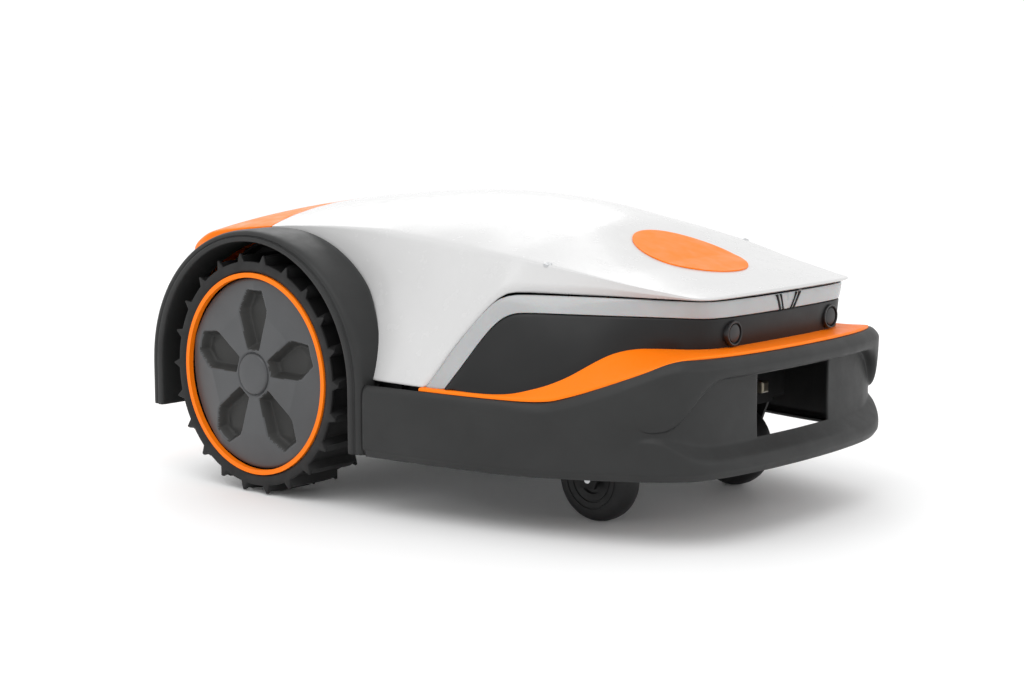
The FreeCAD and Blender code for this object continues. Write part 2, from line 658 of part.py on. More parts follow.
def float_posts():
    """Four rubber posts on the lid that carry the cover and let it shift."""
    posts = []
    for x, y in FLOAT_POSTS:
        foot = rod((x, y, LID_TOP_Z), (0, 0, 1), 16.0, 5.0)
        post = cone((x, y, LID_TOP_Z + 5), (0, 0, 1), 12.0, 9.0, FLOAT_POST_TOP_Z - LID_TOP_Z - 5)
        posts += both_sides(foot.fuse(post))
    return group(posts)


def contact_holder():
    """The block in the front wall that carries the charging contacts."""
    plate = block(PAN_FRONT_X, PAN_FRONT_X + 5, -50, 50, 110, 150)
    nose = block(PAN_FRONT_X + 5, PAN_FRONT_X + 16, -40, 40, 118, 142)
    slots = [block(PAN_FRONT_X + 4, PAN_FRONT_X + 30, y - 6.2, y + 6.2, 122, 138)
             for y in (-DOCK_CONTACT_Y, DOCK_CONTACT_Y)]
    return join([plate, nose]).cut(slots)


def charge_contacts():
    """Two brass contact fins that meet the charging dock."""
    fins = [block(PAN_FRONT_X + 5, PAN_FRONT_X + 34, y - 6, y + 6, 124, 136)
            for y in (-DOCK_CONTACT_Y, DOCK_CONTACT_Y)]
    return group([fin.makeFillet(2.5, [edge for edge in fin.Edges
                                       if edge.BoundBox.XMin > PAN_FRONT_X + 33]) for fin in fins])


def battery_pack():
    """The battery: ten round cells in a shrink-wrapped block with a shelf for its circuit."""
    cells = block(-306, -226, -96, 96, PAN_FLOOR_Z + WALL, PAN_FLOOR_Z + WALL + 62)
    shelf = block(-292, -240, -60, 60, PAN_FLOOR_Z + WALL + 62, PAN_FLOOR_Z + WALL + 72)
    edges = [edge for edge in cells.Edges if edge.BoundBox.YLength > 100]
    return join([cells.makeFillet(9.0, edges), shelf])


def main_board():
    """The controller board, standing on four pillars over the front floor."""
    floor = PAN_FRONT_FLOOR_Z + WALL
    board = block(166, 236, -64, 64, floor + 12, floor + 14)
    pillars = [rod((x, y, floor), (0, 0, 1), 4.0, 12.0) for x in (172, 230) for y in (-58, 58)]
    chips = [block(180, 204, -30, -6, floor + 14, floor + 20), block(208, 228, 10, 44, floor + 14, floor + 26),
             block(176, 190, 22, 54, floor + 14, floor + 24)]
    return join([board] + pillars + chips)


def lift_motor():
    """The motor that turns the lift screw, standing on the lid."""
    body = rod((SCREW_X, 0, LID_TOP_Z + 12), (0, 0, 1), LIFT_MOTOR_RADIUS, 34.0)
    flange = rod((SCREW_X, 0, LID_TOP_Z), (0, 0, 1), LIFT_MOTOR_RADIUS + 7, 12.0)
    return join([body, flange]).cut(
        rod((SCREW_X, 0, LID_TOP_Z - 1), (0, 0, 1), SCREW_RADIUS + SNUG, 22))


def guide_posts():
    """Two steel posts that the cutting deck rides up and down on."""
    post = rod((DECK_X, GUIDE_Y, 80.0), (0, 0, 1), GUIDE_RADIUS, LID_TOP_Z - 80.0)
    return group(both_sides(post))


def build_chassis():
    """Every node that is fixed to the chassis."""
    nodes = {
        "chassis_pan": chassis_pan(),
        "chassis_lid": chassis_lid(),
        "pan_seal": pan_seal(),
        "chassis_screws": chassis_screws(),
        "wheel_bearings": wheel_bearings(),
        "caster_bushes": caster_bushes(),
        "float_posts": float_posts(),
        "contact_holder": contact_holder(),
        "charge_contacts": charge_contacts(),
        "battery_pack": battery_pack(),
        "main_board": main_board(),
        "lift_motor": lift_motor(),
        "guide_posts": guide_posts(),
    }
    for side in SIDES:
        nodes["gearmotor_" + side] = gearmotor(side)
    return nodes


# ---- cutting deck -------------------------------------------------------------------------
BLADE_MOTOR_RADIUS = 40.0
BLADE_MOTOR_TOP_Z = 176.0
SHAFT_RADIUS = 5.0
DISC_Z = 69.0
DISC_THICKNESS = 3.0
BLADE_THICKNESS = 1.5
BLADE_REACH = 52.0
PIVOT_SCREW_RADIUS = 3.0


def mow_deck():
    """The deck: a round hood over the blades, with guide bushes and the lift screw's nut."""
    top = DECK_ROOF_Z
    dome = rod((DECK_X, 0, DECK_FLOOR_Z), (0, 0, 1), DECK_RADIUS, top - DECK_FLOOR_Z)
    dome = dome.makeFillet(14.0, [edge for edge in dome.Edges if edge.BoundBox.ZMin > top - 1])
    hollow = rod((DECK_X, 0, DECK_FLOOR_Z - 1), (0, 0, 1), DECK_RADIUS - WALL, top - DECK_FLOOR_Z - WALL)
    hollow = hollow.makeFillet(11.0, [edge for edge in hollow.Edges if edge.BoundBox.ZMin > top - 6])
    bosses = [rod((DECK_X, y, top - WALL), (0, 0, 1), 12.0, 18.0) for y in (-GUIDE_Y, GUIDE_Y)]
    bosses.append(rod((SCREW_X, 0, top - WALL), (0, 0, 1), 14.0, 22.0))
    holes = [rod((DECK_X, y, 60), (0, 0, 1), GUIDE_RADIUS + SNUG, 120) for y in (-GUIDE_Y, GUIDE_Y)]
    holes.append(rod((SCREW_X, 0, 60), (0, 0, 1), SCREW_RADIUS + SNUG, 120))
    holes.append(rod((DECK_X, 0, 60), (0, 0, 1), SHAFT_RADIUS + 4, 80))
    return join([dome.cut(hollow)] + bosses).cut(holes)


def blade_motor():
    """The flat motor that drives the blade disc, bolted on the deck."""
    body = rod((DECK_X, 0, DECK_ROOF_Z), (0, 0, 1), BLADE_MOTOR_RADIUS, BLADE_MOTOR_TOP_Z - DECK_ROOF_Z)
    body = body.makeFillet(5.0, [edge for edge in body.Edges if edge.BoundBox.ZMin > BLADE_MOTOR_TOP_Z - 1])
    return body.cut(rod((DECK_X, 0, DECK_ROOF_Z - 1), (0, 0, 1), SHAFT_RADIUS + SNUG, 40))


def motor_shaft():
    """The blade motor's output shaft."""
    return rod((DECK_X, 0, DISC_Z + DISC_THICKNESS), (0, 0, 1), SHAFT_RADIUS,
               DECK_ROOF_Z + 34 - DISC_Z - DISC_THICKNESS)


def pivot_place(index):
    """The centre of one blade's pivot on the disc."""
    angle = math.radians(index * 360 / BLADE_COUNT)
    return (DECK_X + BLADE_PIVOT_RADIUS * math.cos(angle), BLADE_PIVOT_RADIUS * math.sin(angle))


def blade_disc():
    """The cutting disc, with a stiffening hub and a hole for each blade's screw."""
    disc = rod((DECK_X, 0, DISC_Z), (0, 0, 1), DISC_RADIUS, DISC_THICKNESS)
    hub = rod((DECK_X, 0, DISC_Z + DISC_THICKNESS), (0, 0, 1), 26.0, 8.0, SHAFT_RADIUS)
    holes = []
    for index in range(BLADE_COUNT):
        x, y = pivot_place(index)
        holes.append(rod((x, y, DISC_Z - 1), (0, 0, 1), PIVOT_SCREW_RADIUS, 5))
    return join([disc, hub]).cut(holes)


def blade_screws():
    """The shouldered screws that the blades pivot on."""
    screws = []
    for index in range(BLADE_COUNT):
        x, y = pivot_place(index)
        head_z = DISC_Z - BLADE_THICKNESS - 2 * GAP - 3
        head = rod((x, y, head_z), (0, 0, 1), 6.0, 3.0)
        shank = rod((x, y, head_z + 2), (0, 0, 1), PIVOT_SCREW_RADIUS, DISC_Z + DISC_THICKNESS - head_z)
        screws.append(head.fuse(shank))
    return group(screws)


def blade(index):
    """One pivoting blade, pointing outwards as it does when the disc spins."""
    x, y = pivot_place(index)
    width = 18.0
    plate = block(x - 9, x + BLADE_REACH, y - width / 2, y + width / 2, DISC_Z - GAP - BLADE_THICKNESS,
                  DISC_Z - GAP)
    upright = [edge for edge in plate.Edges if edge.BoundBox.ZLength > 1]
    plate = plate.makeFillet(4.0, upright)
    plate = plate.cut(rod((x, y, DISC_Z - 10), (0, 0, 1), PIVOT_SCREW_RADIUS + SNUG, 20))
    plate.rotate(Vector(x, y, 0), Vector(0, 0, 1), index * 360 / BLADE_COUNT)
    return plate


def lift_screw():
    """The threaded spindle that raises and lowers the deck."""
    return rod((SCREW_X, 0, 80.0), (0, 0, 1), SCREW_RADIUS, SCREW_LENGTH + 12)


def build_deck():
    """Every node of the deck and what turns on it."""
    nodes = {
        "mow_deck": mow_deck(),
        "blade_motor": blade_motor(),
        "motor_shaft": motor_shaft(),
        "blade_disc": blade_disc(),
        "blade_screws": blade_screws(),
        "lift_screw": lift_screw(),
    }
    for index in range(BLADE_COUNT):
        nodes[f"blade_{index + 1}"] = blade(index)
    return nodes


# ---- wheels -------------------------------------------------------------------------------
RIM_FACE_Y = WHEEL_OUTER_Y - 3.0
COVER_DEPTH = 12.0


def wheel_centre(y):
    """A point on the left rear wheel's axis."""
    return (WHEEL_X, y, WHEEL_RADIUS)


def tyre():
    """A tyre with cross lugs whose tips stand at the full radius."""
    body = rod(wheel_centre(WHEEL_INNER_Y), (0, 1, 0), TYRE_BASE_RADIUS, WHEEL_WIDTH, RIM_RADIUS)
    shoulders = [edge for edge in body.Edges if edge.BoundBox.XLength > 2 * TYRE_BASE_RADIUS - 2
                 and edge.BoundBox.YLength < 1]
    body = body.makeFillet(6.0, shoulders)
    lugs = []
    for index in range(LUG_COUNT):
        lug = block(WHEEL_X - LUG_WIDTH / 2, WHEEL_X + LUG_WIDTH / 2, WHEEL_INNER_Y + 4,
                    WHEEL_OUTER_Y - 4, WHEEL_RADIUS + TYRE_BASE_RADIUS - 4, 2 * WHEEL_RADIUS)
        lug.rotate(Vector(*wheel_centre(0)), Vector(0, 1, 0), (index + 0.5) * 360 / LUG_COUNT)
        lugs.append(lug)
    seat = rod(wheel_centre(RIM_FACE_Y - 3), (0, 1, 0), ACCENT_RING_RADIUS, WHEEL_WIDTH)
    return body.fuse(lugs).cut(seat)


def rim():
    """The wheel's barrel with a web and a hub that is fixed on the axle."""
    start_y, end_y = WHEEL_INNER_Y + 2, RIM_FACE_Y - COVER_DEPTH - 2
    barrel = rod(wheel_centre(start_y), (0, 1, 0), RIM_RADIUS, end_y - start_y, RIM_RADIUS - 5)
    web = rod(wheel_centre(end_y - 6), (0, 1, 0), RIM_RADIUS - 3, 6.0)
    hub = rod(wheel_centre(WHEEL_INNER_Y - 4), (0, 1, 0), 22.0, 54.0)
    return join([barrel, web, hub]).cut(rod(wheel_centre(0), (0, 1, 0), AXLE_RADIUS, SIDE_Y))


def accent_ring():
    """The coloured ring round the rim's outer edge."""
    return rod(wheel_centre(RIM_FACE_Y - 3), (0, 1, 0), ACCENT_RING_RADIUS, 6.0, RIM_RADIUS)


def rim_cover():
    """The dished cover with five tapered pockets round a plain hub disc."""
    dish = rod(wheel_centre(RIM_FACE_Y - COVER_DEPTH - 2), (0, 1, 0), RIM_RADIUS - 0.2, COVER_DEPTH + 4)
    face_z = WHEEL_RADIUS
    pockets = []
    profile = [(28.0, 7.0), (70.0, 17.0), (88.0, 11.5)]
    corners = [(radius, half) for radius, half in profile]
    corners += [(radius, -half) for radius, half in reversed(profile)]
    for index in range(POCKET_COUNT):
        face_corners = [Vector(WHEEL_X + half, RIM_FACE_Y - COVER_DEPTH, face_z + radius)
                        for radius, half in corners]
        wire = Part.makePolygon(face_corners + face_corners[:1])
        pocket = Part.Face(wire).extrude(Vector(0, 40, 0))
        pocket.rotate(Vector(*wheel_centre(0)), Vector(0, 1, 0), index * 360 / POCKET_COUNT)
        pockets.append(pocket)
    groove = rod(wheel_centre(RIM_FACE_Y), (0, 1, 0), 24.0, 10.0, 22.0)
    return dish.cut(pockets + [groove])


def axle():
    """The steel axle from the gearmotor to the wheel's hub."""
    start_y = PAN_SIDE_Y - BEARING_WIDTH - 2 - 20
    return rod(wheel_centre(start_y), (0, 1, 0), AXLE_RADIUS, RIM_FACE_Y - COVER_DEPTH - 4 - start_y)


def caster_fork():
    """The caster's fork: a stem, a crown and two legs that reach down to the wheel's pin."""
    swivel_x = CASTER_X + CASTER_TRAIL
    half_gap = CASTER_WIDTH / 2 + 1.5
    leg = 4.0
    stem = rod((swivel_x, CASTER_Y, FORK_TOP_Z - 4), (0, 0, 1), STEM_RADIUS, BUSH_TOP_Z + 6 - FORK_TOP_Z + 4)
    crown = block(CASTER_X - 14, swivel_x + 14, CASTER_Y - half_gap - leg, CASTER_Y + half_gap + leg,
                  FORK_TOP_Z - 9, FORK_TOP_Z)
    legs = []
    for y in (CASTER_Y - half_gap - leg, CASTER_Y + half_gap):
        plate = [(CASTER_X - 9, CASTER_RADIUS - 9), (CASTER_X + 9, CASTER_RADIUS - 9),
                 (swivel_x + 12, FORK_TOP_Z - 5), (CASTER_X - 12, FORK_TOP_Z - 5)]
        legs.append(prism_y(plate).common(block(0, FRONT_X, y, y + leg, 0, HEIGHT)))
    bore = rod((CASTER_X, 0, CASTER_RADIUS), (0, 1, 0), CASTER_PIN_RADIUS, SIDE_Y)
    return join([stem, crown] + legs).cut(bore)


def caster_wheel():
    """A small solid wheel with a crowned tread."""
    wheel = rod((CASTER_X, CASTER_Y - CASTER_WIDTH / 2, CASTER_RADIUS), (0, 1, 0), CASTER_RADIUS,
                CASTER_WIDTH)
    wheel = wheel.makeFillet(8.0, [edge for edge in wheel.Edges if edge.BoundBox.YLength < 1])
    return wheel.cut(rod((CASTER_X, 0, CASTER_RADIUS), (0, 1, 0), CASTER_PIN_RADIUS + SNUG, SIDE_Y))


def caster_pin():
    """The pin across the fork that the caster wheel turns on."""
    half = CASTER_WIDTH / 2 + 5.5
    return rod((CASTER_X, CASTER_Y - half, CASTER_RADIUS), (0, 1, 0), CASTER_PIN_RADIUS, 2 * half)


def build_wheels():
    """Every node of the four wheels."""
    left = {
        "tyre": tyre(),
        "rim": rim(),
        "accent_ring": accent_ring(),
        "rim_cover": rim_cover(),
        "axle": axle(),
        "caster_fork": caster_fork(),
        "caster_wheel": caster_wheel(),
        "caster_pin": caster_pin(),
    }
    return {f"{name}_{side}": handed(shape, side) for name, shape in left.items() for side in SIDES}


# ---- export -------------------------------------------------------------------------------
os.makedirs("parts", exist_ok=True)
mower = {**build_cover(), **build_chassis(), **build_deck(), **build_wheels()}
for name, shape in mower.items():
    shape.translate(Vector(DATUM_SHIFT, 0, 0))
    shape.exportStep(f"parts/{name}.step")
    print(name, shape.isValid(), len(shape.Solids), round(shape.Volume / 1000, 1))
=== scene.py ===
# Robotic lawn mower: the looks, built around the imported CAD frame.
# Positions are worked out in millimetres in the CAD frame and written to meshes in metres.
import json
import math

import bmesh
import bpy
import numpy as np
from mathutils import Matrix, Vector


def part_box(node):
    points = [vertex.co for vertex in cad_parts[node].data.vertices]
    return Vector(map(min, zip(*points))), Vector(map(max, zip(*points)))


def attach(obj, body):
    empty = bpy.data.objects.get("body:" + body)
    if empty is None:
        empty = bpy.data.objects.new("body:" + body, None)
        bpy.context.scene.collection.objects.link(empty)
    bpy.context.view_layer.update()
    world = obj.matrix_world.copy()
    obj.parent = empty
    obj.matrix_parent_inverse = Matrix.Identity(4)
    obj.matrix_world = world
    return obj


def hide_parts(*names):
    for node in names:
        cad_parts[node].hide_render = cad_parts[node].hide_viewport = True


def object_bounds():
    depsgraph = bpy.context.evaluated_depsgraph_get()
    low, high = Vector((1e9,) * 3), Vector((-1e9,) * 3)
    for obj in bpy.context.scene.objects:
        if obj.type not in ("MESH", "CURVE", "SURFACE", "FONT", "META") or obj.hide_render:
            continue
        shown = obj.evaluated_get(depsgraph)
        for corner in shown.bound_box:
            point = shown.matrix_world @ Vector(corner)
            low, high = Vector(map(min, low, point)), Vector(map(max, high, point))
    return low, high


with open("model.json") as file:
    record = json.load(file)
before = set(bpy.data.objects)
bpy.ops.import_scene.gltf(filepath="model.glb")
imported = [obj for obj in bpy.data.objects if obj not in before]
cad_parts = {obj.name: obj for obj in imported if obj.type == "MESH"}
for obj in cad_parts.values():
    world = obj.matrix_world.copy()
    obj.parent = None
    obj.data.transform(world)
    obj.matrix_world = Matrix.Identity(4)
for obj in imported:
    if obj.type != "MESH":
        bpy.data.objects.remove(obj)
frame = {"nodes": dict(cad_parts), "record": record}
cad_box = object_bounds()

MM = 0.001
nodes = frame["nodes"]

# ---- dimensions read from the frame (mm)
LOW, HIGH = [np.array(corner) / MM for corner in cad_box]
SIDE_Y, TOP_Z = HIGH[1], HIGH[2]

# The drawing's zero lies a little off the frame's, so that the wheels are at this place in it.
WHEEL_X = -179.0
wheel_box = [np.array(corner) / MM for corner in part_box("tyre_left")]
DATUM = (wheel_box[0][0] + wheel_box[1][0]) / 2 - WHEEL_X
SHIFT = np.array([DATUM, 0.0, 0.0])


def cad_box_mm(node):
    """The lowest and highest corner of a CAD node, in the drawing's millimetres."""
    return [np.array(corner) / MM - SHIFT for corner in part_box(node)]


REAR_X = LOW[0] - DATUM
tyre_low, tyre_high = cad_box_mm("tyre_left")
WHEEL_Z = (tyre_low[2] + tyre_high[2]) / 2
TYRE_INNER_Y, TYRE_OUTER_Y = tyre_low[1], tyre_high[1]
fender_low, fender_high = cad_box_mm("fender_left")
FENDER_X = (fender_low[0] + fender_high[0]) / 2
# Half length and height of the ellipses that the wheel arch's band lies between.
FENDER_OUTER = (166.0, 155.0)
FENDER_INNER = (146.0, 142.0)
hood_low, hood_high = cad_box_mm("hood_shell")
HOOD_FRONT_X = hood_high[0]
HEM_Z = cad_box_mm("bumper_skirt")[0][2]
FRONT_LIP_Z = cad_box_mm("bumper_skirt")[1][2]
LIP_Z = cad_box_mm("light_strip")[1][2]
STRIP_Z = cad_box_mm("fascia")[1][2]
HOOD_HEM_Z = hood_low[2]
SKIRT_TOP_Z = cad_box_mm("accent_band")[0][2]
sonar_low, sonar_high = cad_box_mm("sonar_sensor_left")
SIDES = {"left": 1.0, "right": -1.0}

# ---- meshing (mm and counts)
WELD = 0.02
SHORTEST_EDGE = 0.005
RIM_CREASE = 0.7
LEVELS = 2
COVER_WALL, SKIRT_WALL, FASCIA_WALL, TRIM_WALL = 2.6, 3.0, 2.0, 1.6


# ---- mesh helpers
def spline(xs, ys, at):
    """A smooth curve through points: cubic Hermite with limited slopes, so it never overshoots."""
    xs, ys, at = np.array(xs, float), np.array(ys, float), np.asarray(at, float)
    step = np.diff(xs)
    slope = np.diff(ys) / step
    tangent = np.empty_like(ys)
    tangent[0], tangent[-1] = slope[0], slope[-1]
    for i in range(1, len(xs) - 1):
        if slope[i - 1] * slope[i] <= 0:
            tangent[i] = 0
        else:
            w0, w1 = 2 * step[i] + step[i - 1], step[i] + 2 * step[i - 1]
            tangent[i] = (w0 + w1) / (w0 / slope[i - 1] + w1 / slope[i])
    k = np.clip(np.searchsorted(xs, at) - 1, 0, len(xs) - 2)
    t = (at - xs[k]) / step[k]
    h00 = (1 + 2 * t) * (1 - t) ** 2
    h10 = t * (1 - t) ** 2
    h01 = t * t * (3 - 2 * t)
    h11 = t * t * (t - 1)
    return h00 * ys[k] + h10 * step[k] * tangent[k] + h01 * ys[k + 1] + h11 * step[k] * tangent[k + 1]


def ease(share):
    """A share from 0 to 1 that starts and ends softly."""
    return share * share * (3 - 2 * share)


def path(points, count):
    """Evenly spaced points along a curve through the given points."""
    points = np.array(points, float)
    gaps = np.linalg.norm(np.diff(points, axis=0), axis=1)
    length = np.concatenate([[0], np.cumsum(gaps)])
    at = np.linspace(0, length[-1], count)
    return np.stack([spline(length, points[:, axis], at) for axis in range(points.shape[1])], 1)


def new_object(name, mesh, body, slot, replaced=()):
    """Links a painted mesh as a piece that rides on a body and stands for the CAD nodes named."""
    piece = bpy.data.objects.new(name, mesh)
    paint(piece, slot)
    bpy.context.scene.collection.objects.link(piece)
    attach(piece, body)
    if replaced:
        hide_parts(*replaced)
    return piece


def grid_bmesh(bm, rows, closed=False, caps=False):
    """Adds quads between rows of points (mm); closed joins the last row to the first."""
    verts = [[bm.verts.new((np.array(p) + SHIFT) * MM) for p in row] for row in rows]
    count = len(rows) if closed else len(rows) - 1
    for i in range(count):
        upper, lower = verts[i], verts[(i + 1) % len(rows)]
        for j in range(len(upper) - 1):
            bm.faces.new([upper[j], upper[j + 1], lower[j + 1], lower[j]])
    if caps:
        bm.faces.new([row[0] for row in verts])
        bm.faces.new([row[-1] for row in reversed(verts)])
    return verts


def mirror_all(bm):
    """Adds the mirror image of everything across the centre plane and welds the middle."""
    copy = bmesh.ops.duplicate(bm, geom=bm.verts[:] + bm.edges[:] + bm.faces[:])["geom"]
    moved = [item for item in copy if isinstance(item, bmesh.types.BMVert)]
    for vert in moved:
        vert.co.y = -vert.co.y
    faces = [item for item in copy if isinstance(item, bmesh.types.BMFace)]
    bmesh.ops.reverse_faces(bm, faces=faces)
    bmesh.ops.remove_doubles(bm, verts=bm.verts[:], dist=WELD * MM)


def handed(bm, side):
    """Turns a left-hand mesh into the right-hand one where asked."""
    if SIDES[side] < 0:
        for vert in bm.verts:
            vert.co.y = -vert.co.y
        bmesh.ops.reverse_faces(bm, faces=bm.faces[:])


def to_mesh(bm, name, smooth=True):
    """Finishes a bmesh: outward normals, no loose points, smooth shading."""
    bmesh.ops.dissolve_degenerate(bm, dist=SHORTEST_EDGE * MM, edges=bm.edges[:])
    bmesh.ops.recalc_face_normals(bm, faces=bm.faces[:])
    mesh = bpy.data.meshes.new(name)
    bm.to_mesh(mesh)
    bm.free()
    for polygon in mesh.polygons:
        polygon.use_smooth = smooth
    return mesh


def mirrored_sheet(name, columns, slot, replaced):
    """A piece of the cover from the columns of its left half."""
    bm = bmesh.new()
    grid_bmesh(bm, columns)
    mirror_all(bm)
    return new_object(name, to_mesh(bm, name), "cover", slot, [replaced])


def add_modifier(piece, kind, name, **settings):
    """Adds one modifier with its settings."""
    modifier = piece.modifiers.new(name, kind)
    for key, value in settings.items():
        setattr(modifier, key, value)
    return modifier


def subdivide(piece):
    """Rounds a piece with subdivision."""
    add_modifier(piece, "SUBSURF", "rounding", levels=LEVELS, render_levels=LEVELS)


def thicken(piece, thickness, even=True):
    """Gives a sheet its wall thickness, inwards, and rounds it with subdivision."""
    add_modifier(piece, "SOLIDIFY", "wall", thickness=thickness * MM, offset=-1.0,
                 use_even_offset=even, edge_crease_inner=RIM_CREASE, edge_crease_outer=RIM_CREASE,
                 edge_crease_rim=RIM_CREASE)
    subdivide(piece)


def soften(piece, width, angle):
    """Rounds the edges of a hard piece that are sharper than an angle."""
    add_modifier(piece, "BEVEL", "edge_rounding", width=width * MM, segments=2,
                 limit_method="ANGLE", angle_limit=math.radians(angle), harden_normals=False)


def shade_by_angle(mesh, degrees):
    """Marks edges sharper than an angle, so flat faces stay flat under smooth shading."""
    bm = bmesh.new()
    bm.from_mesh(mesh)
    limit = math.radians(degrees)
    for edge in bm.edges:
        edge.smooth = len(edge.link_faces) != 2 or edge.calc_face_angle(0) < limit
    bm.to_mesh(mesh)
    bm.free()
    for polygon in mesh.polygons:
        polygon.use_smooth = True


# ---- materials
NOISE_LOW, NOISE_HIGH = 0.3, 0.7


class Shader:
    """A small builder for one procedural material."""

    def __init__(self, name, color, roughness, **sockets):
        self.material = bpy.data.materials.new(name)
        self.material.use_nodes = True
        self.tree = self.material.node_tree
        self.surface = self.tree.nodes["Principled BSDF"]
        self.surface.inputs["Base Color"].default_value = (*color, 1.0)
        self.surface.inputs["Roughness"].default_value = roughness
        for socket, value in sockets.items():
            self.surface.inputs[socket.replace("_", " ")].default_value = value
        self.place = self.node("ShaderNodeTexCoord").outputs["Object"]
        self.height = None

    def node(self, kind, **values):
        """A node with its properties and unlinked inputs set."""
        made = self.tree.nodes.new(kind)
        for key, value in values.items():
            if hasattr(made, key):
                setattr(made, key, value)
            else:
                made.inputs[key].default_value = value
        return made

    def link(self, source, target):
        """Joins two sockets."""
        self.tree.links.new(source, target)

    def noise(self, scale, detail=4.0, roughness=0.55, stretch=None):
        """A noise value over the surface; scale is in features per metre."""
        made = self.node("ShaderNodeTexNoise", Scale=scale, Detail=detail, Roughness=roughness)
        source = self.place
        if stretch:
            mapping = self.node("ShaderNodeMapping")
            mapping.inputs["Scale"].default_value = stretch
            self.link(source, mapping.inputs["Vector"])
            source = mapping.outputs["Vector"]
        self.link(source, made.inputs["Vector"])
        return made.outputs["Fac"]

    def cells(self, scale):
        """A cell pattern for moulded grain."""
        made = self.node("ShaderNodeTexVoronoi", Scale=scale)
        self.link(self.place, made.inputs["Vector"])
        return made.outputs["Distance"]

    def ramp(self, value, stops):
        """A colour ramp: stops are (position, colour)."""
        made = self.node("ShaderNodeValToRGB")
        ramp = made.color_ramp
        while len(ramp.elements) < len(stops):
            ramp.elements.new(0.5)
        for element, (position, color) in zip(ramp.elements, stops):
            element.position = position
            element.color = (*color, 1.0)
        self.link(value, made.inputs["Fac"])
        return made.outputs["Color"]

    def fit(self, value, low, high):
        """A noise value, whose middle spread is NOISE_LOW to NOISE_HIGH, moved into a range."""
        made = self.node("ShaderNodeMapRange")
        made.inputs["From Min"].default_value = NOISE_LOW
        made.inputs["From Max"].default_value = NOISE_HIGH
        made.inputs["To Min"].default_value = low
        made.inputs["To Max"].default_value = high
        self.link(value, made.inputs["Value"])
        return made.outputs["Result"]

    def vary_color(self, value, dark, light, from_low=NOISE_LOW, from_high=NOISE_HIGH):
        """Base colour between two shades."""
        made = self.ramp(value, [(from_low, dark), (from_high, light)])
        self.link(made, self.surface.inputs["Base Color"])

    def vary_roughness(self, value, low, high):
        """Roughness that varies over the surface."""
        self.link(self.fit(value, low, high), self.surface.inputs["Roughness"])

    def bump(self, value, distance, strength=1.0):
        """Adds relief; distance is in millimetres, and calls build on each other."""
        made = self.node("ShaderNodeBump", Strength=strength, Distance=distance * MM)
        self.link(value, made.inputs["Height"])
        if self.height:
            self.link(self.height, made.inputs["Normal"])
        self.height = made.outputs["Normal"]
        self.link(self.height, self.surface.inputs["Normal"])


def lighter(color, factor):
    """A shade of a colour."""
    return tuple(min(1.0, channel * factor) for channel in color)


def gloss_paint(name, color, roughness, coat=0.2, specular=0.5):
    """Gloss moulded plastic: faint flow texture, soft waviness and a few dull patches."""
    shader = Shader(name, color, roughness, Coat_Weight=coat, Coat_Roughness=0.08, IOR=1.5)
    shader.surface.inputs["Specular IOR Level"].default_value = specular
    shader.vary_color(shader.noise(9.0), lighter(color, 0.975), lighter(color, 1.02))
    shader.vary_roughness(shader.noise(55.0, 6.0), roughness * 0.8, roughness * 1.35)
    shader.bump(shader.noise(35.0, 2.0), 0.05, 0.25)
    shader.bump(shader.noise(500.0, 2.0), 0.004, 0.2)
    return shader.material


def grained_plastic(name, color, roughness, grain=1400.0, relief=0.05, specular=0.5):
    """Matt moulded plastic with a fine spark-eroded grain and slight handling marks."""
    shader = Shader(name, color, roughness)
    shader.surface.inputs["Specular IOR Level"].default_value = specular
    shader.vary_color(shader.noise(14.0, 6.0), lighter(color, 0.86), lighter(color, 1.16))
    shader.vary_roughness(shader.noise(40.0, 8.0, 0.65), roughness * 0.88, min(1.0, roughness * 1.12))
    shader.bump(shader.noise(18.0, 3.0), 0.15, 0.1)
    shader.bump(shader.cells(grain), relief, 0.55)
    return shader.material


def rubber(name, color, roughness):
    """Moulded rubber: mottled, slightly dusty, with a soft pebbled skin."""
    shader = Shader(name, color, roughness)
    shader.surface.inputs["Specular IOR Level"].default_value = 0.35
    shader.vary_color(shader.noise(26.0, 8.0, 0.7), lighter(color, 0.75), lighter(color, 1.45))
    shader.vary_roughness(shader.noise(60.0, 6.0), roughness * 0.85, min(1.0, roughness * 1.1))
    shader.bump(shader.noise(160.0, 5.0), 0.12, 0.35)
    shader.bump(shader.noise(1100.0, 2.0), 0.03, 0.4)
    return shader.material


def metal(name, color, roughness, stretch=(1.0, 1.0, 40.0)):
    """Worked metal with fine tool marks along one direction."""
    shader = Shader(name, color, roughness, Metallic=1.0)
    marks = shader.noise(60.0, 8.0, 0.6, stretch)
    shader.vary_color(marks, lighter(color, 0.85), lighter(color, 1.1))
    shader.vary_roughness(marks, roughness * 0.75, roughness * 1.3)
    shader.bump(marks, 0.02, 0.3)
    return shader.material


def diffuser(name, color):
    """The light strip's frosted lens, with fine vertical prisms moulded inside."""
    shader = Shader(name, color, 0.25, Coat_Weight=0.25, Coat_Roughness=0.05, IOR=1.49)
    shader.surface.inputs["Subsurface Weight"].default_value = 0.25
    shader.surface.inputs["Subsurface Scale"].default_value = 0.004
    ribs = shader.node("ShaderNodeTexWave", Scale=160.0, Distortion=0.0)
    ribs.bands_direction = "Y"
    shader.link(shader.place, ribs.inputs["Vector"])
    shader.vary_color(shader.noise(30.0), lighter(color, 0.97), lighter(color, 1.03))
    shader.bump(ribs.outputs["Fac"], 0.06, 0.25)
    shader.bump(shader.noise(700.0), 0.01, 0.3)
    return shader.material


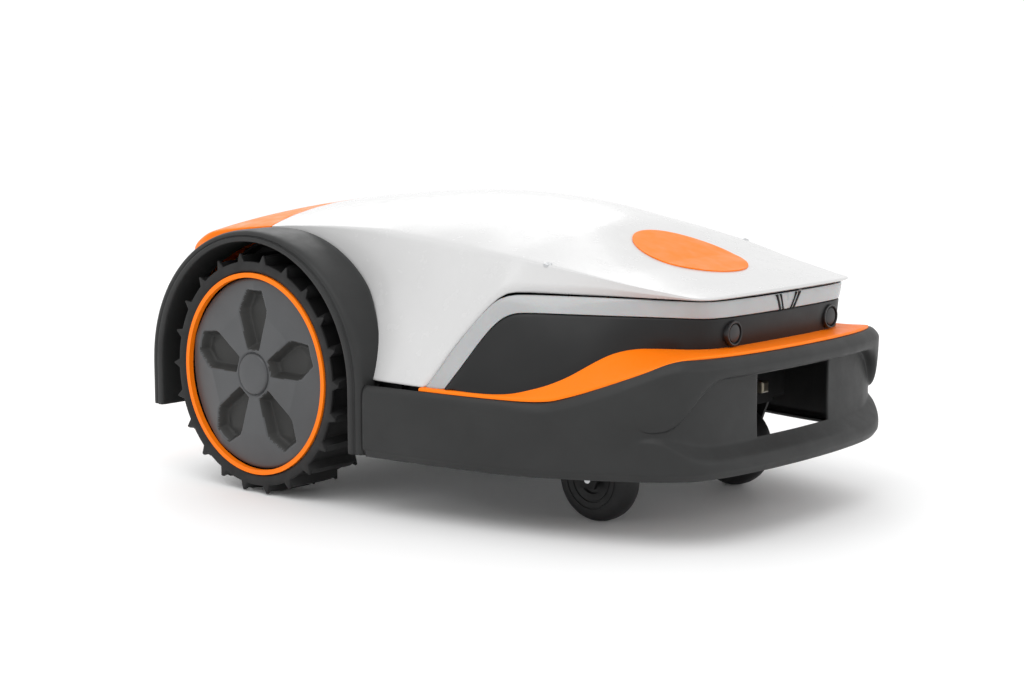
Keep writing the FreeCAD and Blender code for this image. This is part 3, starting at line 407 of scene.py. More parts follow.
def circuit(name):
    """A lacquered board with a faint weave."""
    shader = Shader(name, (0.015, 0.11, 0.05), 0.35, Coat_Weight=0.5)
    weave = shader.node("ShaderNodeTexChecker", Scale=600.0)
    shader.link(shader.place, weave.inputs["Vector"])
    shader.vary_color(shader.noise(240.0, 2.0), (0.01, 0.07, 0.03), (0.02, 0.16, 0.07), 0.45, 0.55)
    shader.bump(weave.outputs["Fac"], 0.02, 0.3)
    return shader.material


WHITE = (0.56, 0.56, 0.56)
ORANGE = (0.95, 0.19, 0.003)
SOFT_GREY = (0.019, 0.0195, 0.0195)
materials = {
    "white_gloss": gloss_paint("white_gloss", WHITE, 0.22, 0.1, 0.35),
    "orange_plastic": gloss_paint("orange_plastic", ORANGE, 0.4, 0.0, 0.16),
    "soft_grey_plastic": grained_plastic("soft_grey_plastic", SOFT_GREY, 0.5, specular=0.3),
    "black_plastic": grained_plastic("black_plastic", (0.006, 0.0062, 0.0065), 0.42, 1600.0, 0.03, 0.3),
    "moulded_black": grained_plastic("moulded_black", (0.008, 0.0082, 0.0085), 0.55, 900.0, 0.08, 0.25),
    "rim_grey": grained_plastic("rim_grey", (0.052, 0.054, 0.057), 0.4, 1500.0, 0.03),
    # The darker grey for the rim cover's pockets is painted shade in the recesses, not a colour of the part.
    "pocket_painted_shade": grained_plastic("pocket_painted_shade", (0.03, 0.03, 0.029), 0.5, 1500.0, 0.03, 0.25),
    "sensor_cap": grained_plastic("sensor_cap", (0.008, 0.008, 0.009), 0.35, 1800.0, 0.02),
    "red_plastic": gloss_paint("red_plastic", (0.55, 0.012, 0.01), 0.28),
    "tyre_rubber": rubber("tyre_rubber", (0.009, 0.009, 0.0092), 0.66),
    "caster_tread": rubber("caster_tread", (0.011, 0.011, 0.0115), 0.6),
    "rubber_parts": rubber("rubber_parts", (0.018, 0.018, 0.018), 0.7),
    "clear_diffuser": diffuser("clear_diffuser", (0.36, 0.365, 0.37)),
    "steel_parts": metal("steel_parts", (0.56, 0.57, 0.58), 0.3),
    "motor_case": metal("motor_case", (0.42, 0.43, 0.45), 0.42, (40.0, 1.0, 1.0)),
    "bronze_bush": metal("bronze_bush", (0.5, 0.33, 0.15), 0.35),
    "brass_contact": metal("brass_contact", (0.2, 0.18, 0.14), 0.35),
    "circuit_board": circuit("circuit_board"),
}


def paint(piece, slot):
    """Gives a piece its material in place of whatever it had."""
    piece.data.materials.clear()
    piece.data.materials.append(materials[slot])


# ---- the cover's shape (mm)
# Stations along X: crown z, crease y and z, wall y at the lip and at the hem.
BREAK_Z = 228.0
STATION_X = [REAR_X, -303, -240, -160, -100, -62, -20, 20, 70, 117, 145, 180, 220, 260, 300,
             HOOD_FRONT_X]
CROWN_Z = [262, 291, 304, 313, 317, TOP_Z, 316.5, 313, 305, 294.5, 285.5, 274, 261.5, 252.5, 245, 240]
CREASE_Y = [221, 221, 208, 201, 200, 199, 195, 190, 184, 180, 176, 168, 157, 148, 136, 128]
CREASE_Z = [245, 271, 281, 287, 289, 289, 285, 281, 275, 270, 266, 260, 252.5, 246, 240.5, 238]
WALL_Y = [228, 228, 213, 206, 206, 206, 206, 206, 206, 205, 190, 176, 160, 147, 136, 130]
HEM_Y = [224, 224, 215, 222, 235, 241, 244, 245, 244, 243, 216, 198, 180, 164, 150, 142]
CROWN_POWER = 2.1
SHOULDER_Y = 205.0
# The hood meets the rear cover along a seam that bows rearwards in the middle.
SEAM_X, SEAM_BOW = -208.0, 30.0
SEAM_GAP = 0.8
# Where each panel's lower edge runs behind the wheel arch: angles up from the front, in degrees.
HOOD_ARCH = (100, 4)
REAR_ARCH = (172, 100)


def crown(x, y):
    """Height of the cover's top at a place."""
    top, edge_y, edge_z = (spline(STATION_X, values, x) for values in (CROWN_Z, CREASE_Y, CREASE_Z))
    return top - (top - edge_z) * min(1.0, abs(y) / edge_y) ** CROWN_POWER


def crease(x):
    """The line where the top turns down into the side wall."""
    y = float(spline(STATION_X, CREASE_Y, x))
    return np.array([x, y, crown(x, y)])


def wall(x, z):
    """A point of the side wall at a length and height."""
    edge = crease(x)
    lip_y, hem_y = float(spline(STATION_X, WALL_Y, x)), float(spline(STATION_X, HEM_Y, x))
    heights = [HOOD_HEM_Z, BREAK_Z, max(edge[2], BREAK_Z + 4)]
    y = np.interp(z, heights, [hem_y, lip_y, edge[1]])
    if z < HOOD_HEM_Z:
        y = hem_y
    return np.array([x, y, z])


def arch_point(size, angle):
    """A point on a wheel arch's ellipse in side view, as (x, z)."""
    return FENDER_X + size[0] * math.cos(angle), WHEEL_Z + size[1] * math.sin(angle)


def arch_edge(count, angles):
    """Points halfway through the fender's band, between two angles."""
    middle = [(outer + inner) / 2 for outer, inner in zip(FENDER_OUTER, FENDER_INNER)]
    return [arch_point(middle, angle) for angle in np.linspace(*np.radians(angles), count)]


TOP_SHARES = [0.0, 0.2, 0.4, 0.6, 0.78, 0.9, 0.965]
WALL_SHARES = [0.06, 0.2, 0.4, 0.6, 0.8]
EDGE_BEVEL = 8.0
EDGE_BEVEL_SHARE = 0.45


def cap_column(middle_x, edge, low, wall_of, bevel_in, shift=0.0):
    """One column of a cover panel: over the crown, past the crease and down to its lower edge."""
    column = []
    for share in TOP_SHARES:
        x = middle_x + (edge[0] - middle_x) * share
        y = edge[1] * share
        x += shift * (1 - (y / SHOULDER_Y) ** 2)
        column.append(np.array([x, y, crown(x, y)]))
    column.append(edge)
    span = low - edge
    length = np.linalg.norm(span)
    edge_share = 1 - min(EDGE_BEVEL_SHARE, EDGE_BEVEL / max(length, 1e-6))
    for share in WALL_SHARES + [1.0]:
        column.append(wall_of(edge + span * share * edge_share))
    inner = wall_of(low).copy()
    inner[:2] += bevel_in
    column.append(inner)
    return column


def side_wall(point):
    """Puts a point on the side wall at its own length and height."""
    return wall(point[0], point[2])


def front_outline():
    """The hood's front edge in plan, from the side round the corner to the middle."""
    x = HOOD_FRONT_X
    return [(x - 31, 136.2), (x - 23, 134.5), (x - 15.5, 130.5), (x - 10.5, 124), (x - 7, 114),
            (x - 4.6, 98), (x - 2.8, 76), (x - 1.3, 50), (x - 0.3, 24), (x, 0)]


def hood_columns():
    """The hood's left half, column by column, from the seam to the middle of the front."""
    columns = []
    arch = arch_edge(15, HOOD_ARCH)
    arch[0] = (SEAM_X, arch[0][1])
    reach = np.linspace(0, 1, len(arch))
    for (low_x, low_z), t in zip(arch, reach):
        x = SEAM_X - SEAM_X * t ** 1.25
        shift = -SEAM_BOW * (1 - t) ** 2
        columns.append(cap_column(x, crease(x), wall(low_x, low_z), side_wall, (0, 0), shift))
    for low_x, x in zip((-12, 8, 30, 46, 54), (10, 24, 38, 50, 56)):
        columns.append(cap_column(x, crease(x), wall(low_x, HOOD_HEM_Z), side_wall, (0, 0)))
    diagonal = [(58, HOOD_HEM_Z + 1), (63, 149), (72, 165), (83, 184), (98, 206), (110, 222.5),
                (117, 230), (124, 234.5), (132, LIP_Z)]
    for (low_x, low_z), x in zip(diagonal, (61, 66, 73, 82, 95, 107, 115, 123, 132)):
        columns.append(cap_column(x, crease(x), wall(low_x, low_z), side_wall, (0, -5)))
    for x in np.linspace(146, HOOD_FRONT_X - 44, 10):
        columns.append(cap_column(x, crease(x), wall(x, LIP_Z), side_wall, (-1.5, -4)))
    outline = front_outline()
    for index, (x, y) in enumerate(outline):
        t = index / (len(outline) - 1)
        top = np.array([x - 1.5 * t, y, crown(x, y) - 0.5])
        low = np.array([x, y, LIP_Z])
        inwards = (-1.5 - 3.0 * t, -4 * (1 - t))
        columns.append(cap_column(HOOD_FRONT_X - 36 + 22 * t, top, low, lambda point: point, inwards))
    return columns


def build_hood():
    """The white hood: a thin moulded shell, creased along its shoulders."""
    thicken(mirrored_sheet("hood_panel", hood_columns(), "white_gloss", "hood_shell"), COVER_WALL)


def rear_columns():
    """The rear cover's left half, from the middle of its rear face round to the seam."""
    columns = []
    bottom_z = cad_box_mm("rear_cover")[0][2]
    edge_x, first_x = REAR_X + 4, REAR_X + 38
    outline = [(edge_x, 0), (edge_x, 40), (edge_x, 84), (edge_x, 128), (edge_x + 0.4, 162),
               (edge_x + 2, 186), (edge_x + 6, 202), (edge_x + 12, 212), (edge_x + 20, 218)]
    for index, (x, y) in enumerate(outline):
        t = index / (len(outline) - 1)
        top = np.array([x + 4 * (1 - t), y * 0.985, crown(x, y) - 4])
        low = np.array([x - 3.5 * (1 - t), y + 5 * t, bottom_z])
        middle_x = REAR_X + 22 + 22 * t
        columns.append(cap_column(middle_x, top, low, lambda point: point, (3 * (1 - t), 0)))
    arch = arch_edge(9, REAR_ARCH)
    arch[-1] = (SEAM_X, arch[-1][1])
    for index, (low_x, low_z) in enumerate(arch[1:]):
        t = (index + 1) / (len(arch) - 1)
        x = first_x + (SEAM_X - SEAM_GAP - first_x) * t
        shift = -SEAM_BOW * t ** 2
        low = wall(low_x - SEAM_GAP * t, low_z)
        columns.append(cap_column(x, crease(x), low, side_wall, (0, 0), shift))
    return columns


PANEL_GAP = 0.4


def apply_modifiers(piece):
    """Makes what the modifiers show the piece's own mesh."""
    bpy.context.view_layer.update()
    shown = piece.evaluated_get(bpy.context.evaluated_depsgraph_get())
    mesh = bpy.data.meshes.new_from_object(shown)
    old = piece.data
    piece.modifiers.clear()
    piece.data = mesh
    bpy.data.meshes.remove(old)


def cut_box(piece, low, high):
    """Opens a hole with a box's outline in a sheet, after its modifiers are applied."""
    apply_modifiers(piece)
    low, high = (np.array(low) + SHIFT) * MM, (np.array(high) + SHIFT) * MM
    bm = bmesh.new()
    bm.from_mesh(piece.data)
    for axis in (0, 1):
        for corner in (low, high):
            normal = Vector((0, 0, 0))
            normal[axis] = 1
            bmesh.ops.bisect_plane(bm, geom=bm.verts[:] + bm.edges[:] + bm.faces[:],
                                   plane_co=corner, plane_no=normal)
    inside = []
    for face in bm.faces:
        centre = face.calc_center_median()
        if all(low[axis] < centre[axis] < high[axis] for axis in (0, 1, 2)):
            inside.append(face)
    bmesh.ops.delete(bm, geom=inside, context="FACES")
    bm.to_mesh(piece.data)
    bm.free()


def build_rear_cover():
    """The orange rear cover, with the control panel's opening in its top."""
    piece = mirrored_sheet("rear_panel", rear_columns(), "orange_plastic", "rear_cover")
    thicken(piece, COVER_WALL)
    panel_low, panel_high = cad_box_mm("control_panel")
    cut_box(piece, panel_low - [PANEL_GAP, PANEL_GAP, 0], panel_high + [PANEL_GAP, PANEL_GAP, 20])
    shade_by_angle(piece.data, 40)


# ---- fenders
FENDER_INSET, FENDER_SINK = 0.5, 2.0
REAR_LEG_RISE = 18
LEG_TOP_Z = WHEEL_Z - 14


def fender_stations():
    """Matching points of the band's outer and inner edge, from the rear leg to the front leg."""
    hem_rear, hem_front = fender_low[2] + REAR_LEG_RISE, fender_low[2]
    stations = []
    for z in np.linspace(hem_rear, LEG_TOP_Z, 4):
        stations.append(((FENDER_X - FENDER_OUTER[0], z), (FENDER_X - FENDER_INNER[0], z)))
    for angle in np.linspace(math.pi, 0, 33):
        stations.append((arch_point(FENDER_OUTER, angle), arch_point(FENDER_INNER, angle)))
    for z in np.linspace(LEG_TOP_Z, hem_front, 5):
        stations.append(((FENDER_X + FENDER_OUTER[0], z), (FENDER_X + FENDER_INNER[0], z)))
    return stations


def build_fender(side):
    """A wheel arch: an outer face strip, a groove, and a broad band back to the hood's wall."""
    face_y = SIDE_Y - FENDER_INSET
    # Share of the band from its inner edge, and how far in from the outer face; None is the wall.
    section = [(0.0, None), (0.0, -40.0), (0.0, -7.0), (0.03, -1.6), (0.1, 0.0), (0.36, 0.0),
               (0.42, -0.7), (0.45, -2.6), (0.52, -2.8), (0.56, -1.6), (0.78, -1.8), (0.93, -4.2),
               (1.0, -10.0), (1.0, -22.0), (1.0, -40.0), (1.0, None)]
    rows = []
    stations = fender_stations()
    for share, inset in section:
        row = []
        for outer, inner in stations:
            x = inner[0] + (outer[0] - inner[0]) * share
            z = inner[1] + (outer[1] - inner[1]) * share
            wall_y = wall(x, z)[1] - FENDER_SINK
            y = wall_y if inset is None else max(face_y + inset, wall_y + 0.5)
            row.append((x, y, z))
        rows.append(row)
    bm = bmesh.new()
    grid_bmesh(bm, rows, closed=True, caps=True)
    handed(bm, side)
    piece = new_object("fender_arch_" + side, to_mesh(bm, "fender_arch_" + side), "cover",
                       "soft_grey_plastic", ["fender_" + side])
    crease_caps(piece.data)
    subdivide(piece)


def crease_caps(mesh, strength=0.8):
    """Keeps the many-sided end faces of a sweep crisp under subdivision."""
    bm = bmesh.new()
    bm.from_mesh(mesh)
    layer = bm.edges.layers.float.get("crease_edge") or bm.edges.layers.float.new("crease_edge")
    for face in bm.faces:
        if len(face.verts) > 4:
            for edge in face.edges:
                edge[layer] = strength
    bm.to_mesh(mesh)
    bm.free()


# ---- skirt and front bumper
SKIRT_OUTLINE = [(-14.5, 262), (36, 257), (97, 249), (155, 239), (218, 222), (277, 203), (312, 188),
                 (334, 169), (346, 140), (354, 93), (358, 42), (HIGH[0] - DATUM, 0)]
PILLAR_INSET = [(0, 0), (262, 0), (285, 2), (304, 4), (316, 6), (326, 11), (334, 14.5), (346, 17.5),
                (354, 19.5), (358, 21), (400, 21.5)]
FRONT_HEM_Z = HEM_Z + 6
WINDOW_HALF_WIDTH = 65.5


def profile(points):
    """A height along X, smooth between the given points."""
    xs, zs = zip(*points)
    return lambda x: float(spline(xs, zs, min(max(x, xs[0]), xs[-1])))


skirt_top = profile([(-30, SKIRT_TOP_Z), (170, SKIRT_TOP_Z), (198, SKIRT_TOP_Z + 1.8), (215, 142),
                     (257, 157), (298, 173), (318, 181), (330, FRONT_LIP_Z - 0.3), (346, FRONT_LIP_Z),
                     (400, FRONT_LIP_Z)])
skirt_hem = profile([(-30, HEM_Z), (150, HEM_Z), (300, FRONT_HEM_Z - 1), (330, FRONT_HEM_Z),
                     (400, FRONT_HEM_Z)])
lip_bottom = profile([(-30, 114), (262, 114), (300, 114), (316, 116), (327, 124), (336, 139), (342, 153),
                      (347, 162), (352, 163), (400, 163)])
bar_top = profile([(-30, 105), (262, 106.5), (300, 105), (314, 103), (324, 97), (336, 89), (348, 84.5),
                   (400, 83)])
fascia_hem = profile([(-30, 139), (130, 139), (150, 140), (172, 146), (198, 158.5), (224, 175),
                      (240, 184), (251, 186.7), (262, 187.4), (400, 187.5)])
recess_depth = profile(PILLAR_INSET)


def outline_columns(points, targets):
    """Places along an outline with the inward direction at each; targets are X or Y values."""
    fine = path(points, 1500)
    chosen = {int(np.argmin(np.abs(fine[:, axis] - value))) for axis, value in targets}
    placed = []
    for index in sorted(chosen):
        before, after = fine[max(index - 6, 0)], fine[min(index + 6, len(fine) - 1)]
        ahead = (after - before) / np.linalg.norm(after - before)
        inward = np.array([ahead[1], -ahead[0]])
        if index == len(fine) - 1:
            inward = np.array([-1.0, 0.0])    # the outline ends square on the centre plane
        placed.append((fine[index], inward))
    return placed


def skirt_columns():
    """Columns along the left half of the skirt, closer together round the front corner."""
    targets = [(0, x) for x in np.linspace(-15, 230, 18)]
    targets += [(0, x) for x in np.linspace(242, 330, 15)]
    targets += [(1, y) for y in (166, 158, 149, 139, 128, 116, 104, 92, 80, 73)]
    targets += [(1, WINDOW_HALF_WIDTH)]
    targets += [(1, y) for y in (65, 50, 33, 16, 0)]
    return outline_columns(SKIRT_OUTLINE, targets)


# Along X: the scoop's relief fades in over the first pair; the top flange narrows over the last.
SCOOP_FADE = (266, 300)
FLANGE_FADE = (150, 200)


def skirt_section(place, inward):
    """The skirt's section at one column, from the top flange down to the hem's return."""
    x = place[0]
    top, hem, depth = skirt_top(x), skirt_hem(x), recess_depth(x)
    lip, bar = lip_bottom(x), bar_top(x)
    deep = min(1.0, depth / 15.0)
    rest = 0.45 * min(depth, 6.0)
    cut = depth - rest
    base = min(bar + 2.0 + 10.0 * deep, lip - 5.0)
    flange = 1.0 - 0.7 * float(np.interp(x, FLANGE_FADE, [1, 0]))
    tall = lip - base
    scooped = [
        (rest, lip + 2.5), (rest + 0.25 * cut, lip + 0.6), (rest + 0.45 * cut, lip + 0.4 - 0.8 * deep),
        (rest + 0.7 * cut, lip + 0.2 - 1.0 * deep), (rest + 0.93 * cut, lip - min(1.5 * deep, 0.1 * tall)),
        (depth, lip - min(1.2 + 2.0 * deep, 0.2 * tall)), (depth, base + 0.66 * tall),
        (depth, base + 0.33 * tall), (depth - 0.04 * cut, base + min(1.8, 0.15 * tall)),
        (depth - 0.12 * cut, base), (depth * 0.45, bar + 0.4 * (base - bar)),
        (min(depth * 0.16, 3.0), bar + 0.1 * (base - bar)), (0.0, bar - 2.5),
    ]
    plain_high, plain_low = top - 18.0, hem + 14.0
    count = len(scooped)
    plain = [(0.0, plain_high + (plain_low - plain_high) * (k + 0.5) / count) for k in range(count)]
    share = ease(float(np.interp(x, SCOOP_FADE, [0, 1])))
    middle = [(a * (1 - share) + b * share, c * (1 - share) + d * share)
              for (a, c), (b, d) in zip(plain, scooped)]
    rows = [(4.5 + 21.5 * flange, top - 1.6), (4.0 + 9.0 * flange, top - 0.5),
            (3.8 + 5.7 * flange, top - 0.8), (1.7 + 2.5 * flange, top - 3.0 - 2.5 * flange),
            (0.7 + 0.9 * flange, top - 7.0 - 3 * flange), (0.3 + 0.5 * rest, top - 12.0)]
    rows += middle
    rows += [(0.3, hem + 9.0), (1.6, hem + 7.4), (6.0, hem + 0.4), (9.0, hem), (10.5, hem + 4.0)]
    return [np.array([*(place + inward * inset), z]) for inset, z in rows]


LIP_ROW, BASE_ROW = 11, 14    # the rows at the top and bottom of the pillars


def build_skirt():
    """The dark skirt: one moulding with a scooped nose, two pillars and the docking window."""
    bm = bmesh.new()
    columns = [skirt_section(*column) for column in skirt_columns()]
    verts = grid_bmesh(bm, columns)
    opening = []
    for left, right in zip(verts, verts[1:]):
        for row in range(LIP_ROW, BASE_ROW):
            corners = {left[row], left[row + 1], right[row], right[row + 1]}
            outer_y = max(vert.co.y for vert in corners) / MM
            if outer_y < WINDOW_HALF_WIDTH + 0.8:
                opening += [face for face in left[row].link_faces if set(face.verts) == corners]
    bmesh.ops.delete(bm, geom=opening, context="FACES")
    mirror_all(bm)
    piece = new_object("skirt_moulding", to_mesh(bm, "skirt_moulding"), "cover", "soft_grey_plastic",
                       ["bumper_skirt"])
    thicken(piece, SKIRT_WALL, even=False)


# ---- accent band, fascia and light strip
FASCIA_START_X = 79
FASCIA_FOOT = [(50, 240), (110, 238), (142, 231.5), (173, 217), (216, 190), (244, 162), (270, 141),
               (296, 128.5), (309, 119), (316, 104), (319.5, 78), (321.5, 40), (322, 0)]
STRIP_LOW = [(81, 240.5, HOOD_HEM_Z), (89, 236, 151), (101, 227.5, 171), (112, 217.5, 191),
             (121, 209.5, 204.5), (130, 203.5, 212.5), (141, 199, STRIP_Z - 0.8), (165, 189.5, STRIP_Z),
             (222, 163.5, STRIP_Z), (270, 140.5, STRIP_Z), (298, 128, STRIP_Z), (312, 119, STRIP_Z),
             (319.5, 104, STRIP_Z), (323, 80, STRIP_Z), (325.3, 40, STRIP_Z), (326, 0, STRIP_Z)]
STRIP_TOP_Z = 234.5
STRIP_HIGH = [(57, 243.5, HOOD_HEM_Z), (65, 238.5, 151), (78, 229, 174), (93, 218, 198),
              (106, 209.5, 216), (115, 204, 226), (124, 199.5, 231.5), (136, 193.5, 234),
              (160, 183, STRIP_TOP_Z), (218, 159, STRIP_TOP_Z), (268, 141, STRIP_TOP_Z),
              (298, 131.5, STRIP_TOP_Z), (313, 125, STRIP_TOP_Z), (321, 109, STRIP_TOP_Z),
              (325.5, 82, STRIP_TOP_Z), (328.2, 40, STRIP_TOP_Z), (329, 0, STRIP_TOP_Z)]


def along(line, shares):
    """Points at the given shares of a line's length."""
    line = np.array(line, float)
    gaps = np.linalg.norm(np.diff(line, axis=0), axis=1)
    length = np.concatenate([[0], np.cumsum(gaps)]) / gaps.sum()
    return np.stack([spline(length, line[:, axis], shares) for axis in range(line.shape[1])], 1)


BAND_THICKNESS = 2.5
# Matching places on the accent band's outer and inner edge, seen from above.
BAND_OUTER = [(52, 248), (97, 243), (146, 235), (178, 226), (212, 215), (240, 206), (268, 196),
              (298, 183), (321, 164), (334, 138), (343, 93), (347, 42), (348, 0)]
BAND_INNER = [(52, 238), (97, 237), (144, 229), (168, 217.5), (194, 201), (222, 181), (248, 156),
              (274, 138), (299, 126), (311, 109), (317, 78), (320, 40), (320.5, 0)]


def foot_line():
    """The fascia's foot with its height, which climbs the ramp and then runs level."""
    return [(x, y, fascia_hem(x)) for x, y in path(FASCIA_FOOT, 60)]


def build_accent_band():
    """The coloured band on the skirt's shoulder, which slopes up to the fascia's foot."""
    steps = np.linspace(0, len(BAND_OUTER) - 1, 61)
    stations = range(len(BAND_OUTER))
    outer, inner = (np.stack([spline(stations, np.array(line, float)[:, axis], steps) for axis in (0, 1)], 1)
                    for line in (BAND_OUTER, BAND_INNER))
    columns = []
    for (x, y), (inner_x, inner_y) in zip(outer, inner):
        edge = np.array([x, y, skirt_top(x) + BAND_THICKNESS])
        foot = np.array([inner_x, inner_y, fascia_hem(inner_x) + 0.5])
        across = foot - edge
        reach = max(np.linalg.norm(across[:2]), 1.0)
        column = [edge + [0, 0, -3.0], edge + [0, 0, -0.9], edge + across * min(0.2, 1.2 / reach)]
        column += [edge + across * share for share in (0.35, 0.65, 0.92, 1.0)]
        columns.append(column + [foot + [0, 0, -3.0]])
    piece = mirrored_sheet("accent_band_shell", columns, "orange_plastic", "accent_band")
    thicken(piece, TRIM_WALL)


def build_fascia():
    """The matt black wall between the accent band and the light strip."""
    shares = np.concatenate([np.linspace(0, 0.5, 22), np.linspace(0.52, 1, 28)])
    low = along([place for place in foot_line() if place[0] > FASCIA_START_X], shares)
    high = along(STRIP_LOW, shares)
    columns = []
    for foot, head in zip(low, high):
        column = [foot + [0, 0, -5.0]]
        for share in (0.02, 0.2, 0.4, 0.6, 0.8, 0.93, 1.0):
            bulge = (2.0 if foot[0] < 290 else 0.3) * math.sin(math.pi * share)
            out = np.array([0.35, 0.94, 0.0]) if foot[0] < 300 else np.array([1.0, 0.0, 0.0])
            column.append(foot + (head - foot) * share + out * bulge)
        inward = np.array([-1.0, -1.5, 0.0]) if head[0] < 305 else np.array([-2.0, 0.0, 0.0])
        column.append(head + inward * 1.6 + [0, 0, 0.6])
        columns.append(column)
    thicken(mirrored_sheet("fascia_panel", columns, "black_plastic", "fascia"), FASCIA_WALL)


def build_light_strip():
    """The frosted strip between the hood's edge and the fascia; its middle emblem bars come from
    build_strip_marks.
    """
    shares = np.concatenate([np.linspace(0, 0.5, 26), np.linspace(0.52, 1, 28)])
    low, high = along(STRIP_LOW, shares), along(STRIP_HIGH, shares)
    columns = []
    for foot, head in zip(low, high):
        inward = np.array([-0.5, -1.0, 0.0]) if foot[0] < 300 else np.array([-1.0, -0.2, 0.0])
        up = head - foot
        columns.append([foot + inward * 3.0 + [0, 0, 0.8], foot + [0, 0, 0.7], foot + up * 0.12,
                        foot + up * 0.5, foot + up * 0.9 + inward * 0.8, head + inward * 2.2])
    thicken(mirrored_sheet("light_lens", columns, "clear_diffuser", "light_strip"), TRIM_WALL)


# ---- wheels
LUGS = 22
FIRST_LUG = 1.5    # degrees that the first lug stands before an even place
TYRE_WALL, RIM_COVER_WALL = 4.0, 2.0
FACE_Y = TYRE_OUTER_Y - 3.0
POCKETS = 5
POCKET_DEPTH, POCKET_SLOPE = 11.5, 6.5
POCKET_NEAR, POCKET_FAR = 25.5, 91.0
POCKET_EDGE = 0.6    # the darker grey, painted shade in the pockets, starts at this depth
HUB_RADIUS = 23.5
STAR_RADIUS, STAR_SLOPE = 64.0, 0.15
COVER_RADIUS = 103.5
TURN_STEPS = 360


def wheel_point(radius, angle, y):
    """A point on the left rear wheel from its radius, angle from the top, and place across."""
    return WHEEL_X + radius * math.sin(angle), y, WHEEL_Z + radius * math.cos(angle)


def build_tyre(side):
    """The tyre: a rounded carcass with cross lugs that come to a claw at each shoulder."""
    middle, half = (TYRE_INNER_Y + TYRE_OUTER_Y) / 2, (TYRE_OUTER_Y - TYRE_INNER_Y) / 2
    # Share of the half width, base radius, lug height, half widths at foot and top (degrees), lean.
    shoulder = [(0.90, 109.2, 0, 1.6, 0.8, 2.0), (0.955, 110.5, 0, 1.6, 0.8, 2.0),
                (0.99, 114.0, 0.3, 1.6, 0.6, 2.0), (1.0, 118.5, 3.5, 1.9, 0.35, 1.8),
                (0.985, 120.8, 8.8, 2.3, 0.3, 1.6), (0.93, 121.3, 8.6, 2.4, 0.6, 1.4),
                (0.87, 120.0, 7.0, 2.5, 1.3, 1.1), (0.78, 119.0, 9.0, 2.7, 1.9, 0.8),
                (0.50, 119.0, 9.6, 2.8, 2.0, 0.4), (0.25, 119.0, 9.6, 2.8, 2.0, 0.1)]
    section = shoulder + [(0.0, 119.0, 9.6, 2.8, 2.0, 0.0)]
    section += [(-share, *rest) for share, *rest in reversed(shoulder)]
    rows = []
    for lug in range(LUGS):
        centre = (lug + 0.5) * 360.0 / LUGS - FIRST_LUG
        for place, raise_share, fixed in ((-1, 0, 0), (-1, 1, 0), (0, 1, 0), (1, 1, 0), (1, 0, 0),
                                          (0, 0, 5.4), (0, 0, 8.18), (0, 0, 10.9)):
            row = []
            for share, base, height, foot_width, top_width, lean in section:
                offset = fixed if fixed else place * (top_width if raise_share else foot_width)
                angle = math.radians(centre + lean + offset)
                row.append(wheel_point(base + height * raise_share, angle, middle + share * half))
            rows.append(row)
    bm = bmesh.new()
    grid_bmesh(bm, rows, closed=True)
    handed(bm, side)
    piece = new_object("tyre_carcass_" + side, to_mesh(bm, "tyre_carcass_" + side),
                       "rear_wheel_" + side, "tyre_rubber", ["tyre_" + side])
    add_modifier(piece, "SOLIDIFY", "wall", thickness=TYRE_WALL * MM, offset=-1.0)
    soften(piece, 0.7, 35)


def pocket_turn(angle):
    """The angle from a place to the middle of the nearest pocket."""
    pitch = 2 * math.pi / POCKETS
    return (angle + pitch / 2) % pitch - pitch / 2


def pocket_depth(radius, angle):
    """How deep the rim cover is sunk at a place: five tapered pockets with sloping walls."""
    turn = pocket_turn(angle)
    along_pocket, across = radius * math.cos(turn), abs(radius * math.sin(turn))
    half = float(np.interp(along_pocket, [20, 26, 64, 70, 91], [6.0, 9.5, 21.5, 21.5, 11.5]))
    inside = min(half - across, along_pocket - POCKET_NEAR, POCKET_FAR - along_pocket)
    share = min(1.0, max(0.0, inside / POCKET_SLOPE))
    return POCKET_DEPTH * (0.7 * share + 0.3 * ease(share))


def cover_relief(radius, angle):
    """The rim cover's height at a place: hub disc, groove, flat star and bevelled rim."""
    star = STAR_RADIUS / math.cos(math.pi / POCKETS - abs(pocket_turn(angle)))
    height = -STAR_SLOPE * max(0.0, radius - star)
    if radius < HUB_RADIUS:
        height += float(np.interp(radius, [0, 20.0, 21.8, 22.2, HUB_RADIUS], [1.6, 1.6, 0.8, -2.0, -2.0]))
    return height - pocket_depth(radius, angle)


def build_rim_cover(side):
    """The dished rim cover with its five pockets round a plain hub disc; the pockets get a darker grey as
    painted shade.
    """
    radii = [0.5, 10, 19.5, 20.5, 21.4, 22.0, 22.6, 23.4, 24.2, *np.linspace(25.5, 100, 62),
             101.5, 102.8, COVER_RADIUS]
    rows = []
    for step in range(TURN_STEPS):
        angle = 2 * math.pi * step / TURN_STEPS
        row = []
        for radius in radii:
            edge = -2.0 * max(0.0, (radius - 101.0) / 2.5) ** 2
            row.append(wheel_point(radius, angle, FACE_Y + 2.2 + cover_relief(radius, angle) + edge))
        row.append(wheel_point(COVER_RADIUS, angle, FACE_Y - 8.0))
        rows.append(row)
    bm = bmesh.new()
    verts = grid_bmesh(bm, rows, closed=True)
    bm.faces.new([row[0] for row in verts])
    handed(bm, side)
    piece = new_object("rim_dish_" + side, to_mesh(bm, "rim_dish_" + side), "rear_wheel_" + side,
                       "rim_grey", ["rim_cover_" + side])
    add_modifier(piece, "SOLIDIFY", "wall", thickness=RIM_COVER_WALL * MM, offset=-1.0)
    # Second slot: the darker grey that paints shade into the pockets.
    piece.data.materials.append(materials["pocket_painted_shade"])
    for polygon in piece.data.polygons:
        x, _, z = np.array(polygon.center) / MM - SHIFT
        radius, angle = math.hypot(x - WHEEL_X, z - WHEEL_Z), math.atan2(x - WHEEL_X, z - WHEEL_Z)
        # Faces sunk past POCKET_EDGE take the painted shade.
        if pocket_depth(radius, angle) > POCKET_EDGE:
            polygon.material_index = 1


